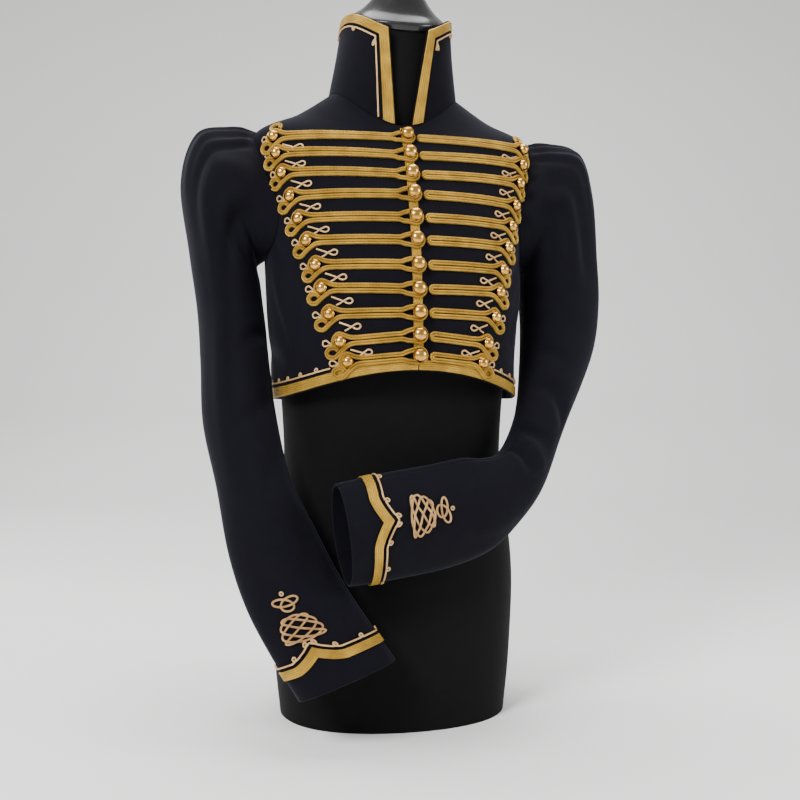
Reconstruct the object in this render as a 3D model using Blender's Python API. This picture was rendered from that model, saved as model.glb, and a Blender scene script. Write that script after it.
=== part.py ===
"""Braided jacket on a limbless dress form, piece by piece as a maker would cut and sew it.

Metres, +Z up, -Y to the front, +X to the wearer's left. The origin is the middle of the form's flat base.
Tables are written in millimetres. Left and right are the wearer's.
"""

import math
from collections import namedtuple

import bmesh
import bpy
import numpy as np

for old in list(bpy.data.objects):
    bpy.data.objects.remove(old, do_unlink=True)

MM = 0.001
CLOTH = 2.0 * MM
LIFT = 0.6 * MM
COLLAR_LIFT = 0.85 * MM
FROG_LIFT = 1.2 * MM
SLEEVE_LIFT = 0.9 * MM
SQUARE = 0.018
EDGE_TURN = 2.8
FORM_SIDES = 22
FORM_ROWS = 19
CAP_SIDES = 16
COLLAR_ROWS = 4
COLLAR_LACE_ROWS = 7
FRONT_LACE_ROWS = 20
SEARCH_STEPS = 30

Ring = namedtuple("Ring", "name z_front z_side z_back half_width front back centre_y")
Point = namedtuple("Point", "x y z")
SleeveRing = namedtuple("SleeveRing", "name inner outer half_depth")
FrogRow = namedtuple("FrogRow", "z_centre z_side half_span")
Material = namedtuple("Material", "name colour roughness metallic")

NAVY_WOOL = Material("navy_wool", (0.008, 0.008, 0.014, 1), 0.9, 0.0)
BLACK_JERSEY = Material("black_jersey", (0.009, 0.009, 0.009, 1), 0.95, 0.0)
BLACK_GLOSS = Material("black_gloss", (0.012, 0.012, 0.012, 1), 0.2, 0.0)
GOLD_BRAID = Material("gold_braid", (0.60, 0.38, 0.10, 1), 0.45, 0.6)
GOLD_METAL = Material("gold_metal", (0.85, 0.58, 0.20, 1), 0.18, 1.0)

FORM_RINGS = (
    Ring("base", 0, 0, 0, 128, 100, 100, 0),
    Ring("low hip", 60, 60, 60, 134, 104, 108, 0),
    Ring("hip", 150, 150, 150, 138, 105, 112, 0),
    Ring("high hip", 220, 220, 220, 132, 100, 100, 0),
    Ring("waist", 275, 275, 275, 124, 94, 84, 0),
    Ring("ribs", 340, 340, 340, 126, 97, 84, 0),
    Ring("under bust", 395, 395, 395, 131, 105, 87, 0),
    Ring("bust", 445, 445, 445, 135, 118, 92, 0),
    Ring("chest", 500, 500, 500, 138, 112, 97, 0),
    Ring("armpit", 550, 550, 550, 142, 99, 100, 0),
    Ring("upper chest", 590, 594, 597, 150, 83, 96, 0),
    Ring("shoulder", 612, 642, 644, 147.5, 70, 84, 0),
    Ring("shoulder slope", 636, 666, 669, 104, 61, 71, 0),
    Ring("neck base", 648, 686, 698, 62, 52, 60, 0),
    Ring("neck", 700, 722, 738, 54, 58, 50, -9),
    Ring("neck top", 747, 768, 789, 51, 45, 45, -30),
)

JACKET_RINGS = (
    Ring("hem", 380, 352, 345, 138, 130, 94, 0),
    Ring("ribs", 414, 397, 392, 139, 130, 95, 0),
    Ring("bust", 457, 447, 442, 143, 127, 100, 0),
    Ring("chest", 507, 505, 503, 146, 120, 105, 0),
    Ring("armpit", 557, 555, 553, 150, 107, 108, 0),
    Ring("upper chest", 598, 602, 604, 159, 91, 104, 0),
    Ring("shoulder", 622, 645, 648, 158, 79, 92, 0),
    Ring("shoulder slope", 638, 668, 676, 112, 69, 79, 0),
    Ring("neck", 649, 693, 705, 73.5, 61, 68, 0),
)

COLLAR_RINGS = (
    Ring("collar base", 649.7, 693.7, 705.7, 73.5, 61, 68, 0),
    Ring("collar middle", 697, 735, 747, 66, 66, 68, -8),
    Ring("collar top", 742, 774, 786, 60.5, 71, 70, -17),
)
COLLAR_GAP_BASE = 9.0 * MM
COLLAR_GAP_TOP = 21.5 * MM
COLLAR_TALL = 98.0 * MM
COLLAR_RADIUS = 66.0 * MM
COLLAR_COLUMNS = 26

ARMHOLE_ROW = 4.55
ARMHOLE_HALF_ROWS = 1.5
ARMHOLE_HALF_ANGLE = math.radians(25)
ARMHOLE_EGG = 0.35
ARMHOLE_MARGIN_ROWS = 0.055
ARMHOLE_MARGIN_ANGLE = math.radians(1.3)
ARMHOLE_LIFT = 0.9 * MM
PANEL_ROWS_BELOW = (0.0, 0.75, 1.5, 2.3)
PANEL_ROWS_ABOVE = (6.55, 7.2, 8.0)
ARMHOLE_STEPS = 7
ARMHOLE_INNER_MARGIN = 0.15
FRONT_COLUMNS = 10
BACK_COLUMNS = 16
CENTRE_ANGLE = 0.002
SEAM_ANGLE = 0.0022

SLEEVE_LEFT = (
    SleeveRing("armhole", Point(148, 0, 503), Point(159, 0, 648), 50),
    SleeveRing("head rise", Point(154, 0, 499), Point(186, 0, 651), 53),
    SleeveRing("head crown", Point(154, 0, 492), Point(223, 0, 642), 57),
    SleeveRing("head fall", Point(153, -2, 478), Point(240, 0, 592), 53),
    SleeveRing("upper arm", Point(153, -8, 455), Point(245, -2, 520), 46),
    SleeveRing("above elbow", Point(151, -16, 430), Point(248, -6, 462), 40),
    SleeveRing("elbow top", Point(144, -34, 392), Point(238, -16, 410), 36),
    SleeveRing("elbow", Point(131, -62, 346), Point(211, -40, 362), 33),
    SleeveRing("elbow bend", Point(113, -90, 309), Point(172, -66, 306), 32),
    SleeveRing("crook", Point(93, -108, 293), Point(138, -96, 250), 31),
    SleeveRing("forearm top", Point(71, -119, 289), Point(110, -112, 219), 29),
    SleeveRing("forearm", Point(46, -128, 290), Point(78, -125, 194), 28),
    SleeveRing("lower forearm", Point(11, -135, 284), Point(33, -134, 179), 27),
    SleeveRing("wrist", Point(-33, -145, 278), Point(-28, -144, 170), 26),
    SleeveRing("cuff", Point(-89, -154, 268), Point(-76, -153, 166), 26),
)
SLEEVE_RIGHT = (
    SleeveRing("armhole", Point(-148, 0, 503), Point(-159, 0, 648), 50),
    SleeveRing("head rise", Point(-154, 0, 499), Point(-186, 0, 650), 53),
    SleeveRing("head crown", Point(-154, 0, 492), Point(-221, 0, 641), 56),
    SleeveRing("head fall", Point(-151, 0, 478), Point(-238, 0, 590), 51),
    SleeveRing("upper arm", Point(-148.5, -2, 455), Point(-229, -2, 515), 45),
    SleeveRing("above elbow", Point(-145.5, -8, 425), Point(-220, -8, 450), 42),
    SleeveRing("elbow", Point(-142.5, -28, 383), Point(-217, -26, 388), 40),
    SleeveRing("below elbow", Point(-136, -52, 323), Point(-215, -48, 325), 38),
    SleeveRing("forearm top", Point(-125, -80, 268), Point(-202, -74, 260), 35),
    SleeveRing("forearm", Point(-102, -108, 216), Point(-191, -102, 195), 31),
    SleeveRing("lower forearm", Point(-78, -124, 168), Point(-175, -120, 144), 28),
    SleeveRing("wrist", Point(-54, -134, 130), Point(-152, -134, 99), 26),
    SleeveRing("cuff", Point(-27, -143, 90), Point(-124, -143, 53), 26),
)
SLEEVES = {"left": SLEEVE_LEFT, "right": SLEEVE_RIGHT}
SIDES = {"left": 1, "right": -1}

BACK_SEAM = -0.18
FRONT_SEAM = 0.45
SLEEVE_SEAM = 0.0006
SLEEVE_HEAD_ROWS = (0.0, 0.35, 0.8, 1.4, 2.1, 3.0)
SLEEVE_FRONT_COLUMNS = 5
UNDER_COLUMNS = 6
GATHERS = 7
GATHER_DEPTH = 2.6 * MM
GATHER_SPREAD = 0.165
GATHER_END = 3.4

FROG_ROWS = (
    FrogRow(632, 632, 138.5),
    FrogRow(610, 614, 136),
    FrogRow(587.5, 591.5, 130.5),
    FrogRow(565, 565, 122.5),
    FrogRow(539.5, 540, 115),
    FrogRow(515, 515.5, 107.5),
    FrogRow(489, 489.5, 99.5),
    FrogRow(463.5, 465, 94),
    FrogRow(439.5, 438, 87),
    FrogRow(416.5, 409.5, 77),
    FrogRow(395.5, 389, 70),
)
CORD_HALF = 2.6 * MM
CORD_HEIGHT = 2.2 * MM
STRAND_OFFSET = 2.9
LOOP_RADIUS = 7.2
LOOP_ANGLES = (60, 100, 140, 180, 220, 260, 300)
RING_RADIUS = 5.0
RING_CENTRE = (8.0, -11.0)
RING_ANGLES = (200, 254, 308, 362, 416, 470)
STRAND_STEP = 24.0
WALK_STEPS = 5
BALL_ACROSS = 6.0 * MM
BALL_TALL = 5.0 * MM
BALL_TILTS = (-70, -25, 20, 55, 82)
BALL_SIDES = 6
BUTTON_ACROSS = 7.4 * MM
BUTTON_TALL = 5.5 * MM
BUTTON_LIFT = 9.0 * MM
BUTTON_TILTS = (-55, -20, 15, 45, 75)
BUTTON_SIDES = 7
SHANK_RADIUS = 2.2 * MM
SHANK_FOOT = 1.9 * MM

LACE_WIDTH = 11.0 * MM
LACE_HEIGHT = 1.0 * MM
LACE_GROOVE = 0.35
EDGE_INSET = 0.5 * MM
EDGE_LACE_HALF = 5.0 * MM
EDGE_LACE_HEIGHT = 0.8 * MM
EDGE_LACE_ROWS = (0.36, 7.95)
OVER_LACE = 1.4 * MM
OVER_EDGE_REACH = (7.5, 12.5)
OVER_HEM_REACH = (14.0 * MM, 17.0 * MM)
COLLAR_TOP_STEPS = 25
HEM_STEPS = 39
CUFF_LACE_STEPS = 24
CUFF_LACE_RISE = 28.0 * MM
CUFF_PEAK_HEIGHT = 12.0 * MM
CUFF_PEAK_REACH = 26.0 * MM
CUFF_FACE = {"left": 0.278, "right": 0.21}
CUFF_TURNS = 240
CUFF_ROWS = 4
CUFF_ROW_STEPS = 80
CUFF_PEAK_SHARES = (-1, -0.75, -0.5, -0.3, -0.15, 0, 0.15, 0.3, 0.5, 0.75, 1)

KNOT_CENTRE = {"left": 76.5 * MM, "right": 66.5 * MM}
KNOT_HALF_ALONG = 12.0 * MM
KNOT_HALF_ACROSS = 19.0 * MM
KNOT_TURNS = (3, 4)
TREFOIL_CENTRE = {"left": 100.0 * MM, "right": 92.0 * MM}
TREFOIL_ALONG = 2.6 * MM
TREFOIL_ACROSS = 4.6 * MM
KNOT_LIFT = 0.6 * MM
KNOT_CORD_HALF = 0.7 * MM
KNOT_CORD_HEIGHT = 1.0 * MM
KNOT_WEAVE = 1.0 * MM
KNOT_STEP = 5.0 * MM
KNOT_RAMP = 0.26
KNOT_SAMPLES = 720


def smooth_rows(table, rows):
    """Value of every column of a table at fractional row numbers, on a smooth curve through the rows."""
    ends = (2 * table[..., :1, :] - table[..., 1:2, :], 2 * table[..., -1:, :] - table[..., -2:-1, :])
    padded = np.concatenate((ends[0], table, ends[1]), axis=-2)
    rows = np.clip(rows, 0, table.shape[-2] - 1)
    low = np.minimum(rows.astype(int), table.shape[-2] - 2)
    part = (rows - low)[..., None]
    if table.ndim == 2:
        a, b, c, d = (padded[low + k] for k in range(4))
    else:
        picks = [np.broadcast_to((low + k)[..., None, None], (*low.shape, 1, table.shape[-1])) for k in range(4)]
        a, b, c, d = (np.take_along_axis(padded, pick, axis=-2)[..., 0, :] for pick in picks)
    bend = 2 * a - 5 * b + 4 * c - d + part * (3 * (b - c) + d - a)
    return b + 0.5 * part * (c - a + part * bend)


def ring_surface(rings, flat=False):
    """Surface through a table of rings, at an angle from the front and a fractional ring number.

    A flat ring leans as one plane. The others keep their sides level and turn up or down at front and back.
    """
    table = np.array([ring[1:] for ring in rings], float) * MM

    def point(angle, row):
        angle, row = np.broadcast_arrays(np.asarray(angle, float), np.asarray(row, float))
        z_front, z_side, z_back, half, front, back, middle = np.moveaxis(smooth_rows(table, row), -1, 0)
        sine = (np.sin(angle) + SQUARE * np.sin(3 * angle)) / (1 - SQUARE)
        cosine = (np.cos(angle) - SQUARE * np.cos(3 * angle)) / (1 - SQUARE)
        ahead = cosine > 0
        y = middle - np.where(ahead, front, back) * cosine
        if flat:
            z = z_side + (z_front - z_back) / 2 * cosine + ((z_front + z_back) / 2 - z_side) * cosine ** 2
        else:
            z = z_side + (np.where(ahead, z_front, z_back) - z_side) * np.abs(np.cos(angle)) ** EDGE_TURN
        return np.stack((half * sine, y, z), axis=-1)

    return point


form_at = ring_surface(FORM_RINGS, flat=True)
jacket_at = ring_surface(JACKET_RINGS)
collar_at = ring_surface(COLLAR_RINGS)


def unit(vectors):
    return vectors / np.linalg.norm(vectors, axis=-1, keepdims=True)


def slopes(surface, a, b):
    """Change of a surface point for one unit of each of its two coordinates."""
    step = 1e-4
    along_a = surface(a + step, b) - surface(a - step, b)
    along_b = surface(a, b + step) - surface(a, b - step)
    return along_a / (2 * step), along_b / (2 * step)


def outward(surface, a, b):
    along_a, along_b = slopes(surface, a, b)
    return unit(np.cross(along_a, along_b))


def raised(surface, a, b, height):
    """Points that stand off a surface by the given height."""
    height = np.asarray(height, float)
    return surface(a, b) + outward(surface, a, b) * height[..., None]


def paint(obj, look):
    material = bpy.data.materials.get(look.name)
    if material is None:
        material = bpy.data.materials.new(look.name)
        material.use_nodes = True
        shader = material.node_tree.nodes["Principled BSDF"]
        shader.inputs["Base Color"].default_value = look.colour
        shader.inputs["Roughness"].default_value = look.roughness
        shader.inputs["Metallic"].default_value = look.metallic
        material.diffuse_color = look.colour
    obj.data.materials.append(material)


def solid(name, points, faces, look):
    """Closed mesh object with its faces turned outward."""
    mesh = bpy.data.meshes.new(name)
    mesh.from_pydata([tuple(point) for point in points], [], faces)
    work = bmesh.new()
    work.from_mesh(mesh)
    bmesh.ops.recalc_face_normals(work, faces=work.faces)
    if work.calc_volume(signed=True) < 0:
        bmesh.ops.reverse_faces(work, faces=work.faces)
    work.to_mesh(mesh)
    work.free()
    mesh.shade_smooth()
    mesh.set_sharp_from_angle(angle=math.radians(40))
    obj = bpy.data.objects.new(name, mesh)
    bpy.context.collection.objects.link(obj)
    paint(obj, look)
    return obj


def wall(name, outer, inner, look):
    """Closed sheet between two grids of points, each of rows and columns."""
    rows, columns = outer.shape[:2]
    count = rows * columns
    faces = []
    for i in range(rows - 1):
        for j in range(columns - 1):
            a, b = i * columns + j, (i + 1) * columns + j
            faces.append((a, a + 1, b + 1, b))
            faces.append((count + a, count + b, count + b + 1, count + a + 1))
    top_row = (rows - 1) * columns
    rim = [j for j in range(columns)]
    rim += [i * columns + columns - 1 for i in range(1, rows)]
    rim += [top_row + j for j in range(columns - 2, -1, -1)]
    rim += [i * columns for i in range(rows - 2, 0, -1)]
    for a, b in zip(rim, rim[1:] + rim[:1]):
        faces.append((b, a, count + a, count + b))
    points = np.concatenate((outer.reshape(-1, 3), inner.reshape(-1, 3)))
    return solid(name, points, faces, look)


def swept(name, sections, look, closed=False):
    """Closed body through sections, each a loop of points, capped unless it meets its own start."""
    count, sides = sections.shape[:2]
    faces = []
    for i in range(count if closed else count - 1):
        for j in range(sides):
            a, b = i * sides, (i + 1) % count * sides
            k = (j + 1) % sides
            faces.append((a + j, a + k, b + k, b + j))
    if not closed:
        faces.append(tuple(range(sides)))
        faces.append(tuple(range((count - 1) * sides, count * sides)))
    return solid(name, sections.reshape(-1, 3), faces, look)


def form_body():
    """Padded torso without limbs, from its flat base to the top of its neck."""
    rows = np.linspace(0, len(FORM_RINGS) - 1, FORM_ROWS)
    angles = np.linspace(0, 2 * math.pi, FORM_SIDES, endpoint=False)
    swept("form_body", form_at(angles[None, :], rows[:, None]), BLACK_JERSEY)


CAP_PROFILE = ((50.0, 0.4), (52.0, 3.0), (52.0, 7.0), (48.0, 11.0), (41.0, 16.0), (34.0, 23.0), (27.0, 32.0),
               (20.0, 40.0), (18.5, 46.0), (22.0, 52.0), (24.0, 60.0), (22.0, 68.0), (15.0, 74.0), (5.0, 76.5))
CAP_LEAN = math.atan2(21, 45)


def turned(profile, centre, axis, sides):
    """Rings of points round an axis, from radii and heights."""
    axis = unit(np.asarray(axis, float))
    guide = np.array((1.0, 0.0, 0.0)) if abs(axis[0]) < 0.8 else np.array((0.0, 0.0, 1.0))
    across = unit(np.cross(axis, guide))
    other = np.cross(axis, across)
    turn = np.linspace(0, 2 * math.pi, sides, endpoint=False)[None, :, None]
    radius, height = (np.array(column, float)[:, None, None] for column in zip(*profile))
    return centre + radius * (np.cos(turn) * across + np.sin(turn) * other) + height * axis


def form_cap():
    """Turned wooden cap on the sloping top of the neck, ending in a plain knob."""
    top = FORM_RINGS[-1]
    centre = np.array((0, top.centre_y, top.z_side)) * MM
    axis = (0, -math.sin(CAP_LEAN), math.cos(CAP_LEAN))
    profile = [(radius * MM, height * MM) for radius, height in CAP_PROFILE]
    swept("form_cap", turned(profile, centre, axis, CAP_SIDES), BLACK_GLOSS)


def armhole(turn, margin=0.0):
    """Angle and ring number on the jacket for a turn round the armhole, 0 at the shoulder tip."""
    half_angle = ARMHOLE_HALF_ANGLE + margin * ARMHOLE_MARGIN_ANGLE
    row = ARMHOLE_ROW + (ARMHOLE_HALF_ROWS + margin * ARMHOLE_MARGIN_ROWS) * np.cos(turn)
    return math.pi / 2 - half_angle * np.sin(turn) * (1 - ARMHOLE_EGG * np.cos(turn)), row


def panel_edge():
    """Rows of a body panel and, at each, how far the armhole cuts in from the side seam."""
    turns = np.linspace(math.pi, 0, ARMHOLE_STEPS + 1)
    angles, rows = armhole(turns)
    rows = np.concatenate((PANEL_ROWS_BELOW, rows, PANEL_ROWS_ABOVE))
    cut = np.concatenate((np.zeros(len(PANEL_ROWS_BELOW)), math.pi / 2 - angles, np.zeros(len(PANEL_ROWS_ABOVE))))
    return rows, cut


def body_panel(name, start, end):
    """Panel of the jacket body between two edges, given as an angle at each row."""
    rows, _ = panel_edge()
    columns = BACK_COLUMNS if name == "back" else FRONT_COLUMNS
    share = np.linspace(0, 1, columns + 1)[None, :]
    angles = start[:, None] + (end - start)[:, None] * share
    grid = np.broadcast_to(rows[:, None], angles.shape)
    wall(name, jacket_at(angles, grid), raised(jacket_at, angles, grid, np.full(grid.shape, -CLOTH)), NAVY_WOOL)


def body_panels():
    """Two fronts that meet at the middle, and one back from side seam to side seam."""
    _, cut = panel_edge()
    side = math.pi / 2
    centre = np.full(cut.shape, CENTRE_ANGLE)
    body_panel("front_left", centre, side - SEAM_ANGLE - cut)
    body_panel("front_right", -centre, -(side - SEAM_ANGLE - cut))
    body_panel("back", side + SEAM_ANGLE + cut, 2 * math.pi - side - SEAM_ANGLE - cut)


def collar_edge(rise):
    """Angle of the collar's front edge at a share of its height."""
    gap = COLLAR_GAP_BASE + (COLLAR_GAP_TOP - COLLAR_GAP_BASE) * rise
    table = np.array([[ring.half_width] for ring in COLLAR_RINGS]) * MM
    half = smooth_rows(table, 2 * np.asarray(rise, float))[..., 0]
    return np.arcsin(gap / half * (1 - SQUARE) / (1 + 3 * SQUARE))


def collar():
    """Stiff standing collar with an open front."""
    rise = np.linspace(0, 1, COLLAR_ROWS)[:, None]
    share = np.linspace(0, 1, COLLAR_COLUMNS + 1)[None, :]
    edge = collar_edge(rise)
    angles = edge + (2 * math.pi - 2 * edge) * share
    rows = np.broadcast_to(2 * rise, angles.shape)
    inner = raised(collar_at, angles, rows, np.full(rows.shape, -CLOTH))
    wall("collar", collar_at(angles, rows), inner, NAVY_WOOL)


def lace_sections(surface, lines, low, high):
    """Cross-sections of a flat lace from three lines of surface coordinates, outer, middle and inner."""
    under = [raised(surface, a, b, np.full(a.shape, low)) for a, b in lines]
    over = [raised(surface, a, b, np.full(a.shape, high)) for a, b in lines]
    over[1] = raised(surface, *lines[1], np.full(lines[1][0].shape, high - LACE_GROOVE * (high - low)))
    return np.stack((*under, *over[::-1]), axis=1)


def lace_distances():
    return EDGE_INSET, EDGE_INSET + LACE_WIDTH / 2, EDGE_INSET + LACE_WIDTH


def collar_lace():
    """Lace up one front edge of the collar, round its top and down the other front edge, mitred."""
    lines = []
    for distance in lace_distances():
        top = 1 - distance / COLLAR_TALL
        rise = np.linspace(0.002, 1, COLLAR_LACE_ROWS)[:-1] * top
        up = collar_edge(rise) + distance / COLLAR_RADIUS
        first = collar_edge(np.array(top)) + distance / COLLAR_RADIUS
        round_top = np.linspace(first, 2 * math.pi - first, COLLAR_TOP_STEPS)
        angles = np.concatenate((up, round_top, (2 * math.pi - up)[::-1]))
        rises = np.concatenate((rise, np.full(COLLAR_TOP_STEPS, top), rise[::-1]))
        lines.append((angles, 2 * rises))
    swept("collar_lace", lace_sections(collar_at, lines, COLLAR_LIFT, COLLAR_LIFT + LACE_HEIGHT), GOLD_BRAID)


def hem_lace():
    """Lace round the hem, just above its edge."""
    angles = np.linspace(CENTRE_ANGLE * 2, 2 * math.pi - CENTRE_ANGLE * 2, HEM_STEPS)
    _, per_row = slopes(jacket_at, angles, np.full(angles.shape, 0.02))
    per_row = np.linalg.norm(per_row, axis=-1)
    lines = [(angles, distance / per_row) for distance in lace_distances()]
    swept("hem_lace", lace_sections(jacket_at, lines, LIFT, LIFT + LACE_HEIGHT), GOLD_BRAID)


def find_front(x, z):
    """Angle and ring number of the jacket front at a place given by its width and height."""
    angle = np.arcsin(np.clip(x / (160 * MM), -0.98, 0.98))
    row = np.interp(z, [ring.z_side * MM for ring in JACKET_RINGS], np.arange(len(JACKET_RINGS), dtype=float))
    for _ in range(SEARCH_STEPS):
        miss = jacket_at(angle, row) - np.stack((x, np.zeros_like(x), z), axis=-1)
        along_angle, along_row = slopes(jacket_at, angle, row)
        det = along_angle[..., 0] * along_row[..., 2] - along_angle[..., 2] * along_row[..., 0]
        det = np.where(np.abs(det) < 1e-6, 1e-6, det)
        angle_step = (miss[..., 0] * along_row[..., 2] - miss[..., 2] * along_row[..., 0]) / det
        row_step = (along_angle[..., 0] * miss[..., 2] - along_angle[..., 2] * miss[..., 0]) / det
        angle = angle - np.clip(angle_step, -0.1, 0.1)
        row = np.clip(row - np.clip(row_step, -0.3, 0.3), 0, len(JACKET_RINGS) - 1)
    return angle, row


def front_lace():
    """Upright lace down the meeting edges, under the button loops."""
    rows = np.linspace(*EDGE_LACE_ROWS, FRONT_LACE_ROWS)
    lines = []
    for x in (-EDGE_LACE_HALF, 0.0, EDGE_LACE_HALF):
        half = jacket_at(np.full(rows.shape, math.pi / 2), rows)[:, 0]
        angles = np.arcsin(x / half * (1 - SQUARE) / (1 + 3 * SQUARE))
        lines.append((angles, rows))
    swept("front_lace", lace_sections(jacket_at, lines, LIFT, LIFT + EDGE_LACE_HEIGHT), GOLD_BRAID)


def on_row(row, side, reach):
    """Jacket coordinates on the middle line of a frog row, millimetres out from the centre."""
    share = np.clip(reach / row.half_span, 0, 1)
    z = (row.z_centre + (row.z_side - row.z_centre) * share) * MM
    return find_front(side * reach * MM, z)


def row_coordinates(row, side, along, up):
    """Jacket coordinates of places on a frog row: millimetres out from the centre and up from the row.

    They are reached by walking over the cloth in short steps, square to the row and then past its end.
    """
    along, up = np.asarray(along, float), np.asarray(up, float)
    reach = np.minimum(along, row.half_span)
    angle, ring = on_row(row, side, reach)
    out = jacket_at(angle, ring) - jacket_at(*on_row(row, side, reach - 1))
    for _ in range(WALK_STEPS):
        along_angle, along_ring = slopes(jacket_at, angle, ring)
        normal = unit(np.cross(along_angle, along_ring))
        out = unit(out - normal * np.sum(normal * out, axis=-1, keepdims=True))
        move = out * (along - reach)[..., None] + side * np.cross(normal, out) * up[..., None]
        move = move * MM / WALK_STEPS
        aa, ab, bb = (np.sum(p * q, axis=-1) for p, q in (
            (along_angle, along_angle), (along_angle, along_ring), (along_ring, along_ring)))
        ma, mb = np.sum(move * along_angle, axis=-1), np.sum(move * along_ring, axis=-1)
        det = aa * bb - ab * ab
        angle = angle + (ma * bb - mb * ab) / det
        ring = ring + (mb * aa - ma * ab) / det
    return angle, ring


def cord_sections(surface, a, b, low, half, height):
    """Cross-sections of a flat-bottomed cord that follows surface coordinates."""
    points = surface(a, b)
    normal = outward(surface, a, b)
    ahead = unit(np.gradient(points, axis=0))
    across = unit(np.cross(normal, ahead))
    low = np.broadcast_to(low, a.shape)[:, None]
    loop = ((-1, 0), (1, 0), (0.72, 1), (-0.72, 1))
    return np.stack([points + across * half * s + normal * (low + height * h) for s, h in loop], axis=1)


def ball(name, surface, a, b, across, tall, centre, look, shank=None):
    """Domed button standing off a surface on the given side, with a shank when one shows."""
    base = surface(a, b)
    axis = outward(surface, a, b)
    tilt = BALL_TILTS if shank is None else BUTTON_TILTS
    profile = [(across * math.cos(math.radians(t)), centre + tall * math.sin(math.radians(t))) for t in tilt]
    if shank is not None:
        profile = [(SHANK_RADIUS, shank), (SHANK_RADIUS, centre - tall * 0.9)] + profile
    return swept(name, turned(profile, base, axis, BUTTON_SIDES if shank else BALL_SIDES), look)


def fuse(obj, extra):
    """Union of two solids, kept in the first."""
    join = obj.modifiers.new("fuse", "BOOLEAN")
    join.operation = "UNION"
    join.object = extra
    shape = bpy.data.meshes.new_from_object(obj.evaluated_get(bpy.context.evaluated_depsgraph_get()))
    obj.modifiers.clear()
    obj.data = shape
    obj.data.name = obj.name
    bpy.data.objects.remove(extra, do_unlink=True)


def straight(start, end):
    """Places along a strand, evenly spread and no further apart than the strand step."""
    count = max(1, math.ceil(abs(end - start) / STRAND_STEP))
    return list(np.linspace(start, end, count + 1))


def frog_path(row, loops):
    """Centre line of one frog: outer end, upper strand, the turn at the centre, lower strand, outer ring."""
    out = row.half_span
    upper = [(x, STRAND_OFFSET) for x in straight(out - 1.5, 16)]
    if loops:
        turn = [(10.5, 4.5)]
        turn += [(LOOP_RADIUS * math.cos(math.radians(t)), LOOP_RADIUS * math.sin(math.radians(t)))
                 for t in LOOP_ANGLES]
        turn += [(10.5, -4.5)]
    else:
        turn = [(16 - STRAND_OFFSET * math.sin(math.radians(t)), STRAND_OFFSET * math.cos(math.radians(t)))
                for t in (45, 90, 135)]
    lower = [(x, -STRAND_OFFSET) for x in straight(16, out - 10)]
    slant = [(out - 3.5, -6.0)]
    ring = [(out + RING_CENTRE[0] + RING_RADIUS * math.cos(math.radians(t)),
             RING_CENTRE[1] + RING_RADIUS * math.sin(math.radians(t))) for t in RING_ANGLES]
    return np.array(upper + turn + lower + slant + ring)


def nearness(distance, reach):
    """1 within the nearer of two distances, falling to 0 at the farther one."""
    return np.clip((reach[1] - distance) / (reach[1] - reach[0]), 0, 1)


def frog(number, row, side_name):
    """Double cord of one row with its outer ring, raised where it crosses a lace, and its side button."""
    side = SIDES[side_name]
    path = frog_path(row, loops=side_name == "right")
    angle, ring = row_coordinates(row, side, path[:, 0], path[:, 1])
    from_hem = np.linalg.norm(slopes(jacket_at, angle, np.full(angle.shape, 0.02))[1], axis=-1) * ring
    crossing = np.maximum(nearness(np.abs(path[:, 0]), OVER_EDGE_REACH), nearness(from_hem, OVER_HEM_REACH))
    low = FROG_LIFT + OVER_LACE * crossing
    name = f"frog_{side_name}_{number:02d}"
    cord = swept(name, cord_sections(jacket_at, angle, ring, low, CORD_HALF, CORD_HEIGHT), GOLD_BRAID)
    a, b = row_coordinates(row, side, np.array(row.half_span), np.array(0.0))
    dome = ball("dome", jacket_at, a, b, BALL_ACROSS, BALL_TALL, FROG_LIFT + BALL_TALL, GOLD_METAL)
    fuse(cord, dome)


def button(number, row):
    """Centre button on its shank, standing in the cord's loop."""
    a, b = row_coordinates(row, 1, np.array(0.0), np.array(0.0))
    ball(f"button_{number:02d}", jacket_at, a, b, BUTTON_ACROSS, BUTTON_TALL, BUTTON_LIFT, GOLD_METAL, SHANK_FOOT)


def armhole_ring(side_name, turn, margin):
    """Places just off the jacket round its armhole, where the sleeve starts."""
    angle, row = armhole(2 * math.pi * turn, margin)
    return raised(jacket_at, angle, row, np.full(angle.shape, ARMHOLE_LIFT)) * (SIDES[side_name], 1, 1)


def sleeve_rings(side_name, turn):
    """Control rings of a sleeve at a turn round it, 0 on the outer side and a quarter on the front."""
    table = SLEEVES[side_name]
    side = SIDES[side_name]
    inner = np.array([ring.inner for ring in table]) * MM
    outer = np.array([ring.outer for ring in table]) * MM
    depth = np.array([ring.half_depth for ring in table]) * MM
    centre, reach = (inner + outer) / 2, (outer - inner) / 2
    front = side * unit(np.cross(np.gradient(centre, axis=0), reach)) * depth[:, None]
    cosine = np.cos(2 * math.pi * turn)[..., None, None]
    sine = np.sin(2 * math.pi * turn)[..., None, None]
    rings = centre + cosine * reach + sine * front
    rings[..., 0, :] = armhole_ring(side_name, turn, margin=1)
    return rings, centre


def sleeve_surface(side_name):
    """Outer surface of a sleeve at a turn round it and a fractional ring number."""

    def point(turn, row):
        turn, row = np.broadcast_arrays(np.asarray(turn, float), np.asarray(row, float))
        rings, centre = sleeve_rings(side_name, turn)
        base = smooth_rows(rings, row)
        middle = smooth_rows(centre, row)
        around = (turn + 0.5) % 1 - 0.5
        window = np.clip(1 - (around / GATHER_SPREAD) ** 4, 0, 1)
        fade = np.clip(row / 0.5, 0, 1) * np.clip(1 - row / GATHER_END, 0, 1)
        wave = np.cos(math.pi * GATHERS * (around / GATHER_SPREAD + 1))
        return base + unit(base - middle) * (GATHER_DEPTH * wave * window * fade)[..., None]

    return point


sleeve_at = {name: sleeve_surface(name) for name in SIDES}


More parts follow.
